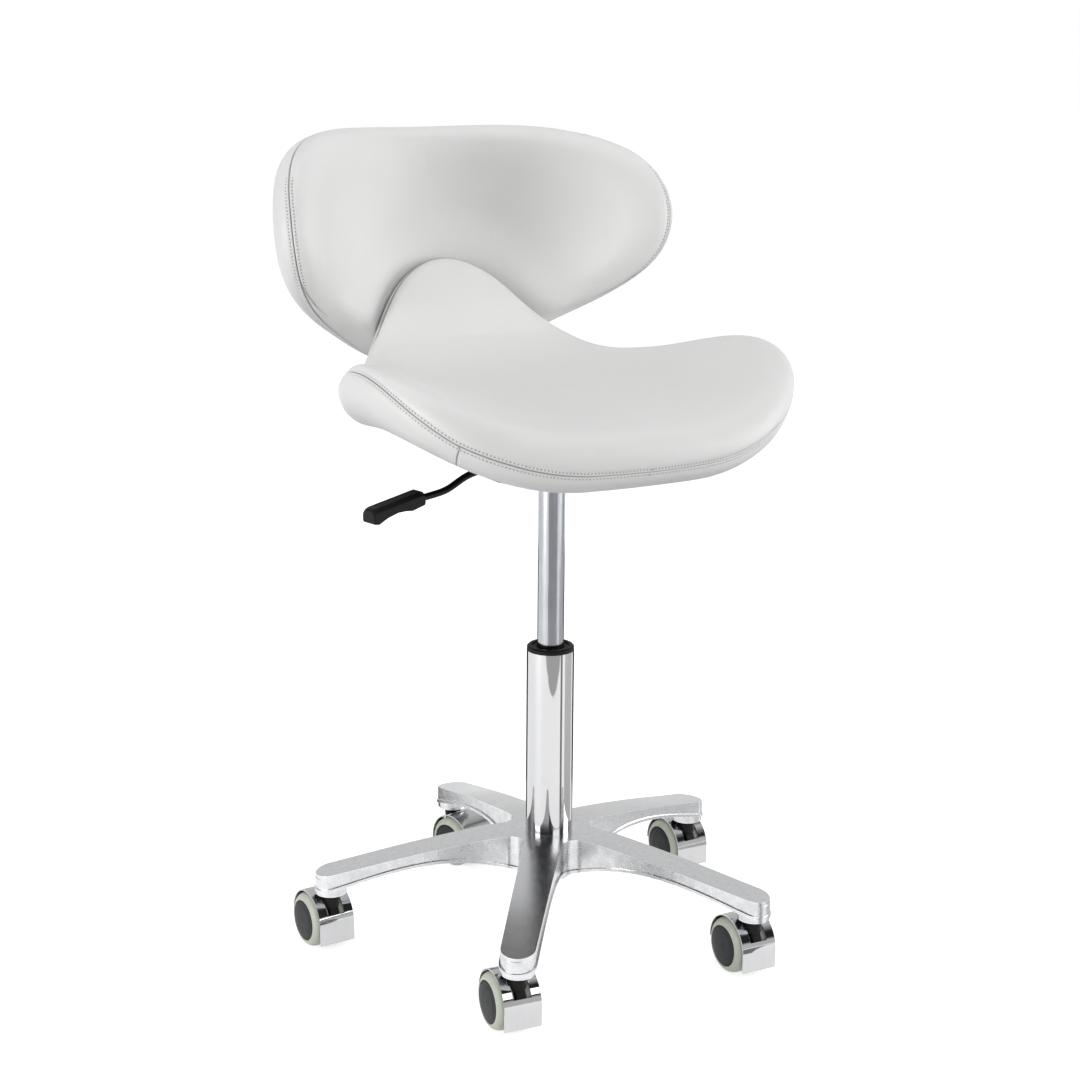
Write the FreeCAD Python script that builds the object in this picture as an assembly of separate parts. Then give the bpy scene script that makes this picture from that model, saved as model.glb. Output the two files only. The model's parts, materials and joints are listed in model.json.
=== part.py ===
import FreeCAD, Part
import math
import os

os.makedirs("parts", exist_ok=True)

# Rolling stylist stool: five-arm base on twin-wheel casters, height-adjustable gas lift,
# dished seat with a rising rear tongue, and a low wrap-round backrest.
# Millimetres. Z is up, the floor is Z = 0 and the column stands on the Z axis.
# The sitter faces -Y, so the sitter's right hand is on the -X side.

V = FreeCAD.Vector
UP = V(0, 0, 1)

# ---- driving dimensions: gas lift ----
TUBE_R = 25.0            # chrome outer tube
TUBE_WALL = 2.0
TUBE_BOTTOM = 70.0
TUBE_TOP = 319.5
CYLINDER_R = 14.0        # sliding pressure cylinder
CYLINDER_BORE_R = 12.0
CYLINDER_BOTTOM = 240.0  # at full height
CYLINDER_TOP = 521.0
TAPER_START = 499.0      # the cylinder narrows from here up, to wedge in the seat plate
TAPER_TOP_R = 13.2
RUNNING_GAP = 0.05       # radial clearance of every running fit
BUSH_BOTTOM = 200.0
COLLAR_HEIGHT = 5.0
ROD_R = 5.0
FLOOR_PLATE_Z = 76.0
FLOOR_PLATE_T = 4.0

# ---- driving dimensions: five-arm base ----
ARM_COUNT = 5
FIRST_ARM_DEG = -36.0    # measured from -Y towards +X; one arm then points straight back
SOCKET_RADIUS = 233.0    # column axis to caster axis
SOCKET_BOTTOM = 63.7
SOCKET_R = 16.6
ARM_TIP = 249.0
ARM_HALF_HUB = 20.5
ARM_HALF_TIP = 17.3
WEB_FILLET = 14.0
HUB_R = 31.0
HUB_BOTTOM = 75.5
HUB_TOP = 121.0
# crown line of an arm: (distance from the column, height)
ARM_TOP_LINE = [(20, 121), (42, 121.2), (62, 120), (90, 116), (130, 109.3), (170, 101.8), (205, 94.6),
                (233, 89), (256, 84.5)]
# lower edge of an arm: deep at the hub, a slim bar along its length, deeper again at the socket
ARM_LOW_LINE = [(20, 79), (42, 83), (62, 88.5), (90, 94), (130, 94.5), (170, 88), (205, 79), (233, 71),
                (256, 66)]
LIP_OUT = 1.6
LIP_HEIGHT = 3.2
SHELL_WALL = 4.5

# ---- driving dimensions: casters ----
WHEEL_R = 29.0
TRAIL = 19.0             # swivel axis to axle
WHEEL_INNER = 5.6        # inner face of a wheel, from the caster's mid plane
WHEEL_OUTER = 24.6
DISC_R = 21.6
HOOD_R = 31.0            # inner radius of the bright hood
HOOD_T = 1.2
HOOD_HALF = 19.8
HOOD_SKIRT_Z = 10.0      # lower edge of the hood's flat front
CASTER_TOP = 61.0
AXLE_R = 3.0
STEM_R = 5.5
PIVOT_R = 4.0
# heading of each caster's trail, degrees anticlockwise from +X
CASTER_HEADINGS = [86.0, 89.0, 93.0, 285.0, 94.0]

# ---- driving dimensions: seat ----
SEAT_START_Y = -199.1    # front tip of the seat's mid surface
SEAT_START_Z = 550.3
SEAT_PITCH = 4.5         # rise of the sitting area towards the back, degrees
FRONT_CURL = 25.4        # slope of the mid surface at the front tip
FRONT_CURL_R = 70.0
TONGUE_RISE = 55.6       # slope at the top of the rear tongue
TONGUE_BEND_R = 170.0
TONGUE_STRAIGHT = 54.6
SEAT_LENGTH = 512.8      # along the mid line, front tip to tongue tip
SEAT_THICK = 59.0
TONGUE_THICK = 34.0
THIN_AT = 375.0          # where the pad thins towards the tongue
WING_START = 60.0        # half-width of the flat middle
WING_RISE = 2.0
WING_END = 268.0         # the wings level out here, along the mid line
# half outline of the pad laid flat: (half-width, distance along the mid line)
SEAT_OUTLINE = [(0, 0), (60.0, 3.2), (118.0, 14.0), (168.0, 36.0), (207.0, 76.0), (226.0, 126.0), (230.0, 175.0),
                (222.5, 225.0), (203.0, 275.0), (168.0, 327.0), (132.0, 380.0), (97.0, 432.0), (66.0, 476.0),
                (36.0, 502.0), (0, 512.8)]
BOARD_T = 12.4
BOARD_INSET = 62.0       # the vinyl wraps this far under the rim to the board
COVER_INSET = 54.0
BOARD_START, BOARD_END = 58.0, 426.0     # along the mid line
COVER_START, COVER_END = 50.0, 434.0
SKIN_GAP = 0.3
COVER_T = 1.5

# ---- driving dimensions: backrest ----
BACK_Y = 305.0           # mid surface at the reference height
BACK_REF_Z = 720.0
BACK_TILT = 9.3
BACK_THICK = 48.0
BACK_WRAP = 2.8
BACK_WRAP_4 = 18.2
BACK_OUTLINE = [(0, 840.7), (55.4, 840.2), (188.7, 806.9), (194.9, 801.7), (213.1, 677.5), (121.6, 609.9),
                (62.0, 582.7), (0, 578.7)]

# ---- driving dimensions: seat plate, lever and back bar ----
PLATE_T = 3.0
PLATE_HALF_X = 78.0
PLATE_HALF_Y = 92.0
BOLT_X = 56.0
BOLT_Y = 70.0
LEVER_SWING = 14.0       # the lever points this far forward of straight right
LEVER_PIVOT_U = 32.0
LEVER_Z = 531.5
LEVER_ROD_R = 3.5
BAR_T = 6.0
BAR_HALF = 30.0
BAR_BEND_R = 45.0


def save(name, *solids):
    shape = solids[0] if len(solids) == 1 else Part.makeCompound(list(solids))
    shape.exportStep("parts/%s.step" % name)


def rad(deg):
    return math.radians(deg)


def cyl(r, z0, z1, x=0.0, y=0.0):
    return Part.makeCylinder(r, z1 - z0, V(x, y, z0), UP)


def ring(r_out, r_in, z0, z1, x=0.0, y=0.0):
    return cyl(r_out, z0, z1, x, y).cut(cyl(r_in, z0 - 1, z1 + 1, x, y))


def box(x0, x1, y0, y1, z0, z1):
    return Part.makeBox(x1 - x0, y1 - y0, z1 - z0, V(x0, y0, z0))


def turned(points):
    """Solid of revolution about Z from (radius, height) corners."""
    wire = Part.makePolygon([V(r, 0, z) for r, z in points] + [V(points[0][0], 0, points[0][1])])
    return Part.Face(wire).revolve(V(0, 0, 0), UP, 360)


def union(shapes):
    return shapes[0].multiFuse(shapes[1:]).removeSplitter()


def spline(points):
    curve = Part.BSplineCurve()
    curve.interpolate(points)
    return curve.toShape()


def loop(points):
    curve = Part.BSplineCurve()
    curve.interpolate(Points=points, PeriodicFlag=True)
    return curve


def spun(shape, deg, centre=V(0, 0, 0), axis=UP):
    out = shape.copy()
    out.rotate(centre, axis, deg)
    return out


def moved(shape, x, y, z):
    out = shape.copy()
    out.translate(V(x, y, z))
    return out


# =============================== five-arm base ===============================

def arm_line(points):
    return spline([V(r, 0, z) for r, z in points])


def radial_band(upper, lower, lift=0.0):
    """Ring-shaped solid between two radial height lines."""
    top = arm_line([(r, z + lift) for r, z in upper])
    low = arm_line(lower)
    r0, r1 = upper[0][0], upper[-1][0]
    inner = Part.makeLine(V(r0, 0, lower[0][1]), V(r0, 0, upper[0][1] + lift))
    outer = Part.makeLine(V(r1, 0, upper[-1][1] + lift), V(r1, 0, lower[-1][1]))
    wire = Part.Wire([inner, top, outer, low])
    return Part.Face(wire).revolve(V(0, 0, 0), UP, 360)


def star_plan(out, fillet):
    """Plan of the star: five straight arms with rounded tips, blended at the hub."""
    step = 360.0 / ARM_COUNT
    half_step = rad(step / 2)
    edges = []
    w0, w1 = ARM_HALF_HUB + out, ARM_HALF_TIP + out
    taper = math.atan((w0 - w1) / SOCKET_RADIUS)
    for k in range(ARM_COUNT):
        a = rad(FIRST_ARM_DEG + step * k)
        along, across = V(math.sin(a), -math.cos(a), 0), V(math.cos(a), math.sin(a), 0)

        def at(r, s):
            return along * r + across * s
        start = (w0 + fillet) / math.tan(half_step)
        ws = w0 - start * math.tan(taper)
        tip = ARM_TIP + out
        nxt = rad(FIRST_ARM_DEG + step * (k + 1))
        n_along, n_across = V(math.sin(nxt), -math.cos(nxt), 0), V(math.cos(nxt), math.sin(nxt), 0)
        bis = a + half_step
        to_bis = V(math.sin(bis), -math.cos(bis), 0)
        near = (w0 + fillet) / math.sin(half_step) - fillet
        edges.append(Part.makeLine(at(start, -ws), at(SOCKET_RADIUS, -w1)))
        edges.append(Part.Arc(at(SOCKET_RADIUS, -w1), at(tip, 0), at(SOCKET_RADIUS, w1)).toShape())
        edges.append(Part.makeLine(at(SOCKET_RADIUS, w1), at(start, ws)))
        edges.append(Part.Arc(at(start, ws), to_bis * near, n_along * start - n_across * ws).toShape())
    return Part.Face(Part.Wire(edges))


def base_star():
    prism = moved(star_plan(0.0, WEB_FILLET), 0, 0, 50).extrude(V(0, 0, 90))
    body = prism.common(radial_band(ARM_TOP_LINE, ARM_LOW_LINE))
    lip_prism = moved(star_plan(LIP_OUT, WEB_FILLET - LIP_OUT), 0, 0, 50).extrude(V(0, 0, 90))
    lip_top = [(r, z + LIP_HEIGHT) for r, z in ARM_LOW_LINE]
    lip = lip_prism.common(radial_band(lip_top, ARM_LOW_LINE))
    hub = cyl(HUB_R, HUB_BOTTOM, HUB_TOP)
    parts = [body, lip, hub]
    hollow_top = [(r, z - SHELL_WALL) for r, z in ARM_TOP_LINE]
    hollow_low = [(r, z - 9.0) for r, z in ARM_LOW_LINE]
    slots = []
    for k in range(ARM_COUNT):
        a = FIRST_ARM_DEG + k * 360.0 / ARM_COUNT
        x, y = SOCKET_RADIUS * math.sin(rad(a)), -SOCKET_RADIUS * math.cos(rad(a))
        parts.append(cyl(SOCKET_R, SOCKET_BOTTOM, 82.0, x, y))
        w = ARM_HALF_TIP - SHELL_WALL
        plan = Part.Face(Part.makePolygon([V(-w, -210, 40), V(w, -210, 40), V(w + 2, -48, 40),
                                           V(-w - 2, -48, 40), V(-w, -210, 40)]))
        slots.append(spun(plan.extrude(V(0, 0, 90)), a))
    solid = union(parts)
    for slot in slots:
        solid = solid.cut(slot.common(radial_band(hollow_top, hollow_low)))
    solid = solid.cut(cyl(TUBE_R, 60, 140))
    for k in range(ARM_COUNT):
        a = rad(FIRST_ARM_DEG + k * 360.0 / ARM_COUNT)
        x, y = SOCKET_RADIUS * math.sin(a), -SOCKET_RADIUS * math.cos(a)
        solid = solid.cut(cyl(STEM_R, SOCKET_BOTTOM - 1, 83.0, x, y))
    return solid


save("base_star", base_star())

# =============================== gas lift ===============================

save("outer_tube", ring(TUBE_R, TUBE_R - TUBE_WALL, TUBE_BOTTOM, TUBE_TOP))

bush_in = CYLINDER_R + RUNNING_GAP
collar_top = TUBE_TOP + COLLAR_HEIGHT
guide = turned([(bush_in, BUSH_BOTTOM), (TUBE_R - TUBE_WALL, BUSH_BOTTOM), (TUBE_R - TUBE_WALL, TUBE_TOP),
                (TUBE_R - 0.3, TUBE_TOP), (TUBE_R - 0.3, collar_top - 1.5), (TUBE_R - 1.8, collar_top),
                (TUBE_R - 5.0, collar_top), (TUBE_R - 5.6, collar_top - 1.6), (bush_in + 1.6, collar_top - 1.6),
                (bush_in, collar_top - 3.0)])
save("guide_bush", guide)

floor_top = FLOOR_PLATE_Z + FLOOR_PLATE_T
save("tube_floor", ring(TUBE_R - TUBE_WALL, ROD_R + RUNNING_GAP, FLOOR_PLATE_Z, floor_top))

rod = cyl(ROD_R, FLOOR_PLATE_Z - 4.4, 262.0)
clip = ring(9.0, ROD_R, FLOOR_PLATE_Z - 3.0, FLOOR_PLATE_Z - 0.4)
save("piston_rod", rod, clip)
save("piston_head", cyl(CYLINDER_BORE_R - RUNNING_GAP, 262.0, 276.0))
save("thrust_bearing", ring(17.0, ROD_R, floor_top + 0.3, floor_top + 6.3))
save("rubber_buffer", ring(12.0, ROD_R, floor_top + 6.3, floor_top + 17.0))

cylinder = turned([(CYLINDER_BORE_R, CYLINDER_BOTTOM), (CYLINDER_R, CYLINDER_BOTTOM), (CYLINDER_R, TAPER_START),
                   (TAPER_TOP_R, CYLINDER_TOP), (CYLINDER_BORE_R, CYLINDER_TOP)])
save("pressure_cylinder", cylinder)
rod_guide = ring(CYLINDER_BORE_R, ROD_R + RUNNING_GAP, CYLINDER_BOTTOM, CYLINDER_BOTTOM + 16)
valve_block = cyl(CYLINDER_BORE_R, CYLINDER_TOP - 26, CYLINDER_TOP)
valve_block = valve_block.cut(cyl(PIVOT_R + RUNNING_GAP, CYLINDER_TOP - 23, CYLINDER_TOP + 1))
save("cylinder_ends", rod_guide, valve_block)
save("release_pin", cyl(PIVOT_R, CYLINDER_TOP - 17, CYLINDER_TOP + 6.2))

# =============================== casters ===============================


def caster_place(shape, k):
    """Put a caster part, built with its stem at the origin and trailing along +X, at arm k."""
    a = rad(FIRST_ARM_DEG + k * 360.0 / ARM_COUNT)
    out = spun(shape, CASTER_HEADINGS[k])
    return moved(out, SOCKET_RADIUS * math.sin(a), -SOCKET_RADIUS * math.cos(a), 0)


def across(r, y0, y1, x=TRAIL, z=WHEEL_R):
    return Part.makeCylinder(r, y1 - y0, V(x, y0, z), V(0, 1, 0))


def hood():
    outer = across(HOOD_R + HOOD_T, -HOOD_HALF, HOOD_HALF)
    inner = across(HOOD_R, -HOOD_HALF - 1, HOOD_HALF + 1)
    upper = box(-60, 90, -40, 40, WHEEL_R - 1.5, 80)
    arch = outer.cut(inner).common(upper)
    front = TRAIL - HOOD_R - HOOD_T
    skirt = box(front, front + HOOD_T, -HOOD_HALF, HOOD_HALF, HOOD_SKIRT_Z, WHEEL_R)
    lip = arch.fuse(skirt).removeSplitter()
    return lip.cut(cyl(9.8, 34, 80)).cut(box(-30, 0, -9.8, 9.8, 41, 80))


def caster_body():
    web = across(HOOD_R, -4.6, 4.6).common(box(-40, 60, -10, 10, 14, 80))
    nose = turned([(0, 37), (3.2, 38.5), (6.2, 43), (8.2, 50), (9.2, CASTER_TOP), (0, CASTER_TOP)])
    body = union([web, nose])
    for y0, y1 in ((WHEEL_INNER - 0.6, 40), (-40, 0.6 - WHEEL_INNER)):
        body = body.cut(across(WHEEL_R + 0.8, y0, y1))
    body = body.cut(cyl(PIVOT_R + RUNNING_GAP, 41, 80))
    return body.cut(across(AXLE_R, -20, 20))


def tyre(side):
    inner, outer, bore = WHEEL_INNER + 0.4, WHEEL_OUTER - 0.6, DISC_R + RUNNING_GAP
    mid = 0.5 * (inner + outer) - 1.0
    pts = [V(bore, inner, 0), V(26.2, inner, 0), V(28.5, inner + 3.2, 0), V(WHEEL_R, mid, 0),
           V(28.2, outer - 5.2, 0), V(25.6, outer - 1.6, 0), V(bore, outer, 0)]
    curve = spline(pts[1:])
    wire = Part.Wire([Part.makeLine(pts[0], pts[1]), curve, Part.makeLine(pts[-1], pts[0])])
    solid = Part.Face(wire).revolve(V(0, 0, 0), V(0, 1, 0), 360)
    solid = moved(solid, TRAIL, 0, WHEEL_R)
    return solid if side > 0 else solid.mirror(V(0, 0, 0), V(0, 1, 0))


def disc(side):
    bore = AXLE_R + RUNNING_GAP
    face = WHEEL_OUTER
    pts = [(bore, WHEEL_INNER), (9.0, WHEEL_INNER), (9.0, WHEEL_INNER + 1.5), (DISC_R, WHEEL_INNER + 1.5),
           (DISC_R, face - 1.6), (DISC_R - 1.6, face - 0.6), (14.0, face + 0.4), (0, face + 0.9),
           (0, face - 3.5), (bore, face - 3.5)]
    wire = Part.makePolygon([V(r, y, 0) for r, y in pts] + [V(pts[0][0], pts[0][1], 0)])
    solid = Part.Face(wire).revolve(V(0, 0, 0), V(0, 1, 0), 360)
    solid = moved(solid, TRAIL, 0, WHEEL_R)
    return solid if side > 0 else solid.mirror(V(0, 0, 0), V(0, 1, 0))


stems = []
for k in range(ARM_COUNT):
    stem = union([cyl(PIVOT_R, 43, 64), cyl(8.5, CASTER_TOP + 0.3, SOCKET_BOTTOM), cyl(STEM_R, SOCKET_BOTTOM, 82.6)])
    stems.append(caster_place(stem, k))
    tag = "caster_%d_" % (k + 1)
    save(tag + "hood", caster_place(hood(), k))
    save(tag + "body", caster_place(caster_body(), k))
    save(tag + "axle", caster_place(across(AXLE_R, -20.6, 20.6), k))
    for name, side in (("a", 1), ("b", -1)):
        save(tag + "tyre_" + name, caster_place(tyre(side), k))
        save(tag + "disc_" + name, caster_place(disc(side), k))
save("caster_stems", *stems)

# =============================== seat shape ===============================

ARC_FRONT = FRONT_CURL_R * rad(FRONT_CURL - SEAT_PITCH)
ARC_REAR = TONGUE_BEND_R * rad(TONGUE_RISE - SEAT_PITCH)
FLAT_LENGTH = SEAT_LENGTH - ARC_FRONT - ARC_REAR - TONGUE_STRAIGHT


def seat_frame(s):
    """Point and slope of the seat's mid line at distance s from the front tip."""
    y, z, a = SEAT_START_Y, SEAT_START_Z, rad(FRONT_CURL)
    left = s
    for length, turn in ((ARC_FRONT, rad(SEAT_PITCH - FRONT_CURL)), (FLAT_LENGTH, 0.0),
                         (ARC_REAR, rad(TONGUE_RISE - SEAT_PITCH)), (TONGUE_STRAIGHT, 0.0)):
        step = min(left, length)
        part = turn * step / length
        chord = step if abs(part) < 1e-9 else step * math.sin(part / 2) / (part / 2)
        y += chord * math.cos(a + part / 2)
        z += chord * math.sin(a + part / 2)
        a += part
        left -= step
        if left <= 0:
            break
    return y, z, a


def wing(x, s):
    fade = 1.0 / (1.0 + math.exp((s - WING_END) / 40.0))
    return WING_RISE * max(0.0, abs(x) - WING_START) ** 2 / 1000.0 * fade


def seat_point(x, s, off):
    y, z, a = seat_frame(s)
    o = off + wing(x, s)
    return V(x, y - o * math.sin(a), z + o * math.cos(a))


def seat_half_thick(s):
    return 0.5 * (SEAT_THICK + (TONGUE_THICK - SEAT_THICK) / (1.0 + math.exp(-(s - THIN_AT) / 30.0)))


def half_outline(points):
    """Dense closed outline from a half outline mirrored about x = 0."""
    right = [V(x, s, 0) for x, s in points]
    left = [V(-x, s, 0) for x, s in reversed(points[1:-1])]
    return loop(right + left).discretize(721)


def half_width(outline, s):
    best = 0.0
    for p, q in zip(outline[:-1], outline[1:]):
        if (p.y - s) * (q.y - s) <= 0 and p.y != q.y:
            best = max(best, p.x + (q.x - p.x) * (s - p.y) / (q.y - p.y))
    return best


def rim_distance(outline, x, s):
    """Distance from (x, s) to the nearest point of the outline."""
    best = 1e9
    for p, q in zip(outline[:-1], outline[1:]):
        dx, dy = q.x - p.x, q.y - p.y
        t = ((x - p.x) * dx + (s - p.y) * dy) / (dx * dx + dy * dy)
        t = min(1.0, max(0.0, t))
        best = min(best, math.hypot(x - p.x - t * dx, s - p.y - t * dy))
    return best


def round_rim(depth, radius):
    if depth >= radius:
        return radius
    return math.sqrt(max(0.0, 2 * radius * depth - depth * depth))


SEAT_EDGE = half_outline(SEAT_OUTLINE)
BACK_EDGE = half_outline(BACK_OUTLINE)


def pad_section(edge, pos, radius, place, n=15):
    """Closed cross-section of a round-rimmed pad at one station."""
    w = half_width(edge, pos)
    upper, lower = [], []
    for i in range(n + 1):
        x = -w * math.cos(math.pi * i / n)
        h = 0.0 if i in (0, n) else round_rim(rim_distance(edge, x, pos), radius)
        upper.append(place(x, pos, h))
        if 0 < i < n:
            lower.append(place(x, pos, -h))
    return Part.Wire([loop(upper + lower[::-1]).toShape()])


def slab_section(edge, pos, inset, lo, hi, place, n=10):
    """Cross-section of a thin board between two offsets, with square edges."""
    w = half_width(edge, pos) - inset
    xs = [-w + 2 * w * i / n for i in range(n + 1)]
    top = [place(x, pos, hi) for x in xs]
    low = [place(x, pos, lo) for x in xs]
    return Part.Wire([spline(top), Part.makeLine(top[-1], low[-1]), spline(low[::-1]),
                      Part.makeLine(low[0], top[0])])


def loft(wires):
    return Part.makeLoft(wires, True, False, False, 3)


def banded(wires):
    """Loft made of one plain band between each two neighbouring sections."""
    return Part.makeLoft(wires, True, True)


SEAT_STATIONS = [0.4, 2.0, 5.0, 9.0, 14.0, 20.0, 28.0, 38.0, 50.0, 66.0, 86.0, 110.0, 136.0, 164.0, 192.0, 220.0,
                 246.0, 270.0, 294.0, 318.0, 342.0, 366.0, 390.0, 414.0, 436.0, 456.0, 473.0, 487.0, 498.0, 505.0,
                 509.5, 512.0]


def seat_pad():
    return banded([pad_section(SEAT_EDGE, s, seat_half_thick(s), seat_point) for s in SEAT_STATIONS])


def seat_slab(lo, hi, inset, s0, s1, n=22):
    """Board following the pad's underside; lo and hi are measured up from it."""
    wires = []
    for i in range(n + 1):
        s = s0 + (s1 - s0) * i / n
        r = -seat_half_thick(s)
        wires.append(slab_section(SEAT_EDGE, s, inset, r + lo, r + hi, seat_point))
    return banded(wires)


def under_seat(shape):
    """Place a part built with the pad's underside as Z = 0 and the column at the origin."""
    out = spun(shape, SEAT_PITCH, V(0, 0, 0), V(1, 0, 0))
    return moved(out, 0, 0, UNDERSIDE_Z)


def seat_mid_height():
    lo, hi = 100.0, 300.0
    for _ in range(40):
        mid = 0.5 * (lo + hi)
        if seat_frame(mid)[0] < 0:
            lo = mid
        else:
            hi = mid
    return seat_frame(lo)[1]


UNDERSIDE_Z = seat_mid_height() - 0.5 * SEAT_THICK / math.cos(rad(SEAT_PITCH))

bolt_spots = [(sx * BOLT_X, sy * BOLT_Y) for sx in (-1, 1) for sy in (-1, 1)]
plate_top = -SKIN_GAP - COVER_T - SKIN_GAP
plate_low = plate_top - PLATE_T
bar_low = plate_low - BAR_T
board_top = SKIN_GAP + BOARD_T

nut_holes = [under_seat(cyl(5.5, -6, board_top + 0.4, x, y)) for x, y in bolt_spots]
nuts = [under_seat(union([ring(5.4, 4.0, SKIN_GAP, board_top + 0.3, x, y),
                          ring(10.5, 4.0, board_top + 0.3, board_top + 1.8, x, y)])) for x, y in bolt_spots]
nut_rooms = [under_seat(cyl(11.0, board_top - 1, board_top + 7.0, x, y)) for x, y in bolt_spots]

cushion = seat_pad()
cushion = cushion.cut(seat_slab(-30, 0, COVER_INSET - 1, COVER_START - 1, COVER_END + 1))
cushion = cushion.cut(seat_slab(-30, board_top, BOARD_INSET, BOARD_START, BOARD_END))
for room in nut_rooms:
    cushion = cushion.cut(room)
save("seat_cushion", cushion)

board = seat_slab(SKIN_GAP, board_top - SKIN_GAP, BOARD_INSET + 1, BOARD_START + 1, BOARD_END - 1)
for hole in nut_holes:
    board = board.cut(hole)
save("seat_shell", board)

dust_cover = seat_slab(-SKIN_GAP - COVER_T, -SKIN_GAP, COVER_INSET, COVER_START, COVER_END)
for hole in nut_holes:
    dust_cover = dust_cover.cut(hole)
save("seat_dust_cover", dust_cover)

# =============================== seat plate ===============================


def lever_frame(shape):
    """Turn a part built along +X so that it points along the lever."""
    return spun(shape, 180 + LEVER_SWING)


def seat_plate():
    flat = box(-PLATE_HALF_X, PLATE_HALF_X, -PLATE_HALF_Y, PLATE_HALF_Y, plate_low, plate_top)
    flat = flat.makeFillet(14, [e for e in flat.Edges if abs(e.tangentAt(e.FirstParameter).z) > 0.9])
    front = box(-60, 60, -PLATE_HALF_Y, -PLATE_HALF_Y + PLATE_T, plate_low - 9, plate_low)
    sides = [box(sx * 70 - 1.5, sx * 70 + 1.5, -60, -28, plate_low - 7, plate_low) for sx in (-1, 1)]
    plate = under_seat(union([flat, front] + sides))
    socket = cyl(20, TAPER_START, UNDERSIDE_Z + plate_low + 0.5)
    ears = []
    for side in (-1, 1):
        y0 = side * 9.5 - 1.5
        ears.append(lever_frame(box(LEVER_PIVOT_U - 6, LEVER_PIVOT_U + 6, y0, y0 + 3, 526.5, 536.8)))
    solid = union([plate, socket] + ears)
    cone = turned([(0, TAPER_START - 1), (CYLINDER_R + 0.03, TAPER_START - 1), (CYLINDER_R, TAPER_START),
                   (TAPER_TOP_R, CYLINDER_TOP), (TAPER_TOP_R, 560), (0, 560)])
    solid = solid.cut(cone)
    solid = solid.cut(lever_frame(box(-10, 62, -6.5, 6.5, LEVER_Z - 7, 560)))
    pin_hole = Part.makeCylinder(2.5 + RUNNING_GAP, 40, V(LEVER_PIVOT_U, -20, LEVER_Z), V(0, 1, 0))
    solid = solid.cut(lever_frame(pin_hole))
    for x, y in bolt_spots:
        solid = solid.cut(under_seat(cyl(4.4, -20, 5, x, y)))
    return solid


save("seat_plate", seat_plate())

# =============================== lever ===============================

# centre line of the lever rod: (distance from the column, height)
LEVER_LINE = [(LEVER_PIVOT_U + 6, LEVER_Z), (LEVER_PIVOT_U + 14, 531.2), (62, 526.6), (80, 524.0), (100, 523.2),
              (116, 520.3), (130, 514.8), (141, 510.8), (153, 508.9), (172, 507.4), (232, 499.4)]


def lever_rod():
    straight = Part.makeCylinder(LEVER_ROD_R, LEVER_PIVOT_U + 8.0, V(-2, 0, LEVER_Z), V(1, 0, 0))
    path = Part.Wire([spline([V(u, 0, z) for u, z in LEVER_LINE])])
    circle = Part.Wire([Part.makeCircle(LEVER_ROD_R, V(LEVER_LINE[0][0], 0, LEVER_Z), V(1, 0, 0))])
    bent = path.makePipeShell([circle], True, False)
    cross_pin = Part.makeCylinder(2.5, 23, V(LEVER_PIVOT_U, -11.5, LEVER_Z), V(0, 1, 0))
    return lever_frame(union([straight, bent, cross_pin]))


def lever_grip():
    """Faceted paddle: flat top, bevelled edges, finger hollow underneath."""
    top = [(174, 515.0), (178, 516.6), (236, 507.6), (241, 505.4)]
    low = [(239.5, 490.4), (232, 489.0), (221, 494.4), (208, 498.2), (199, 498.6), (190, 497.2), (178, 500.6),
           (174, 502.0)]
    side = Part.makePolygon([V(u, -11, z) for u, z in top + low] + [V(top[0][0], -11, top[0][1])])
    solid = Part.Face(side).extrude(V(0, 22, 0))
    for sy in (-1, 1):
        bevel = Part.Face(Part.makePolygon([V(170, sy * 11.5, 520), V(170, sy * 11.5, 511), V(170, sy * 6, 520),
                                            V(170, sy * 11.5, 520)])).extrude(V(75, 0, -11.4))
        solid = solid.cut(bevel)
    path = Part.Wire([spline([V(u, 0, z) for u, z in LEVER_LINE])])
    circle = Part.Wire([Part.makeCircle(LEVER_ROD_R, V(LEVER_LINE[0][0], 0, LEVER_Z), V(1, 0, 0))])
    solid = solid.cut(path.makePipeShell([circle], True, False))
    return lever_frame(solid)


save("lever_rod", lever_rod())
save("lever_grip", lever_grip())

# =============================== backrest ===============================


def back_point(x, q, off):
    """Point of the backrest; off is towards the sitter from its curved mid surface."""
    w = BACK_WRAP * x * x / 1000.0 + BACK_WRAP_4 * (x / 200.0) ** 4
    slope = 2 * BACK_WRAP * x / 1000.0 + BACK_WRAP_4 * 4 * (x / 200.0) ** 3 / 200.0
    unit = 1.0 / math.sqrt(1 + slope * slope)
    px = x - off * slope * unit
    out = -w - off * unit
    up = q - BACK_REF_Z
    t = rad(BACK_TILT)
    return V(px, BACK_Y + out * math.cos(t) + up * math.sin(t), BACK_REF_Z + up * math.cos(t) - out * math.sin(t))


BACK_STATIONS = [579.0, 580.5, 584.0, 590.0, 600.0, 615.0, 635.0, 660.0, 690.0, 720.0, 750.0, 775.0, 795.0, 810.0,
                 822.0, 831.0, 836.5, 839.2, 840.1]
BACK_R = 0.5 * BACK_THICK


def back_slab(lo, hi, inset, q0, q1, n=14):
    """Panel on the backrest's rear; lo and hi are measured forward from the rear face."""
    wires = []
    for i in range(n + 1):
        q = q0 + (q1 - q0) * i / n
        wires.append(slab_section(BACK_EDGE, q, inset, lo - BACK_R, hi - BACK_R, back_point))
    return loft(wires)


def behind_back(shape):
    """Place a part built with the rear face's middle line as Y = 0 at reference height Z = 0."""
    out = spun(shape, -BACK_TILT, V(0, 0, 0), V(1, 0, 0))
    spot = back_point(0, BACK_REF_Z, -BACK_R)
    return moved(out, spot.x, spot.y, spot.z)


back_bolts = [(sx * 16.0, z) for sx in (-1, 1) for z in (-70.0, -10.0)]


def along_y(r, y0, y1, x, z):
    return Part.makeCylinder(r, y1 - y0, V(x, y0, z), V(0, 1, 0))


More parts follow.
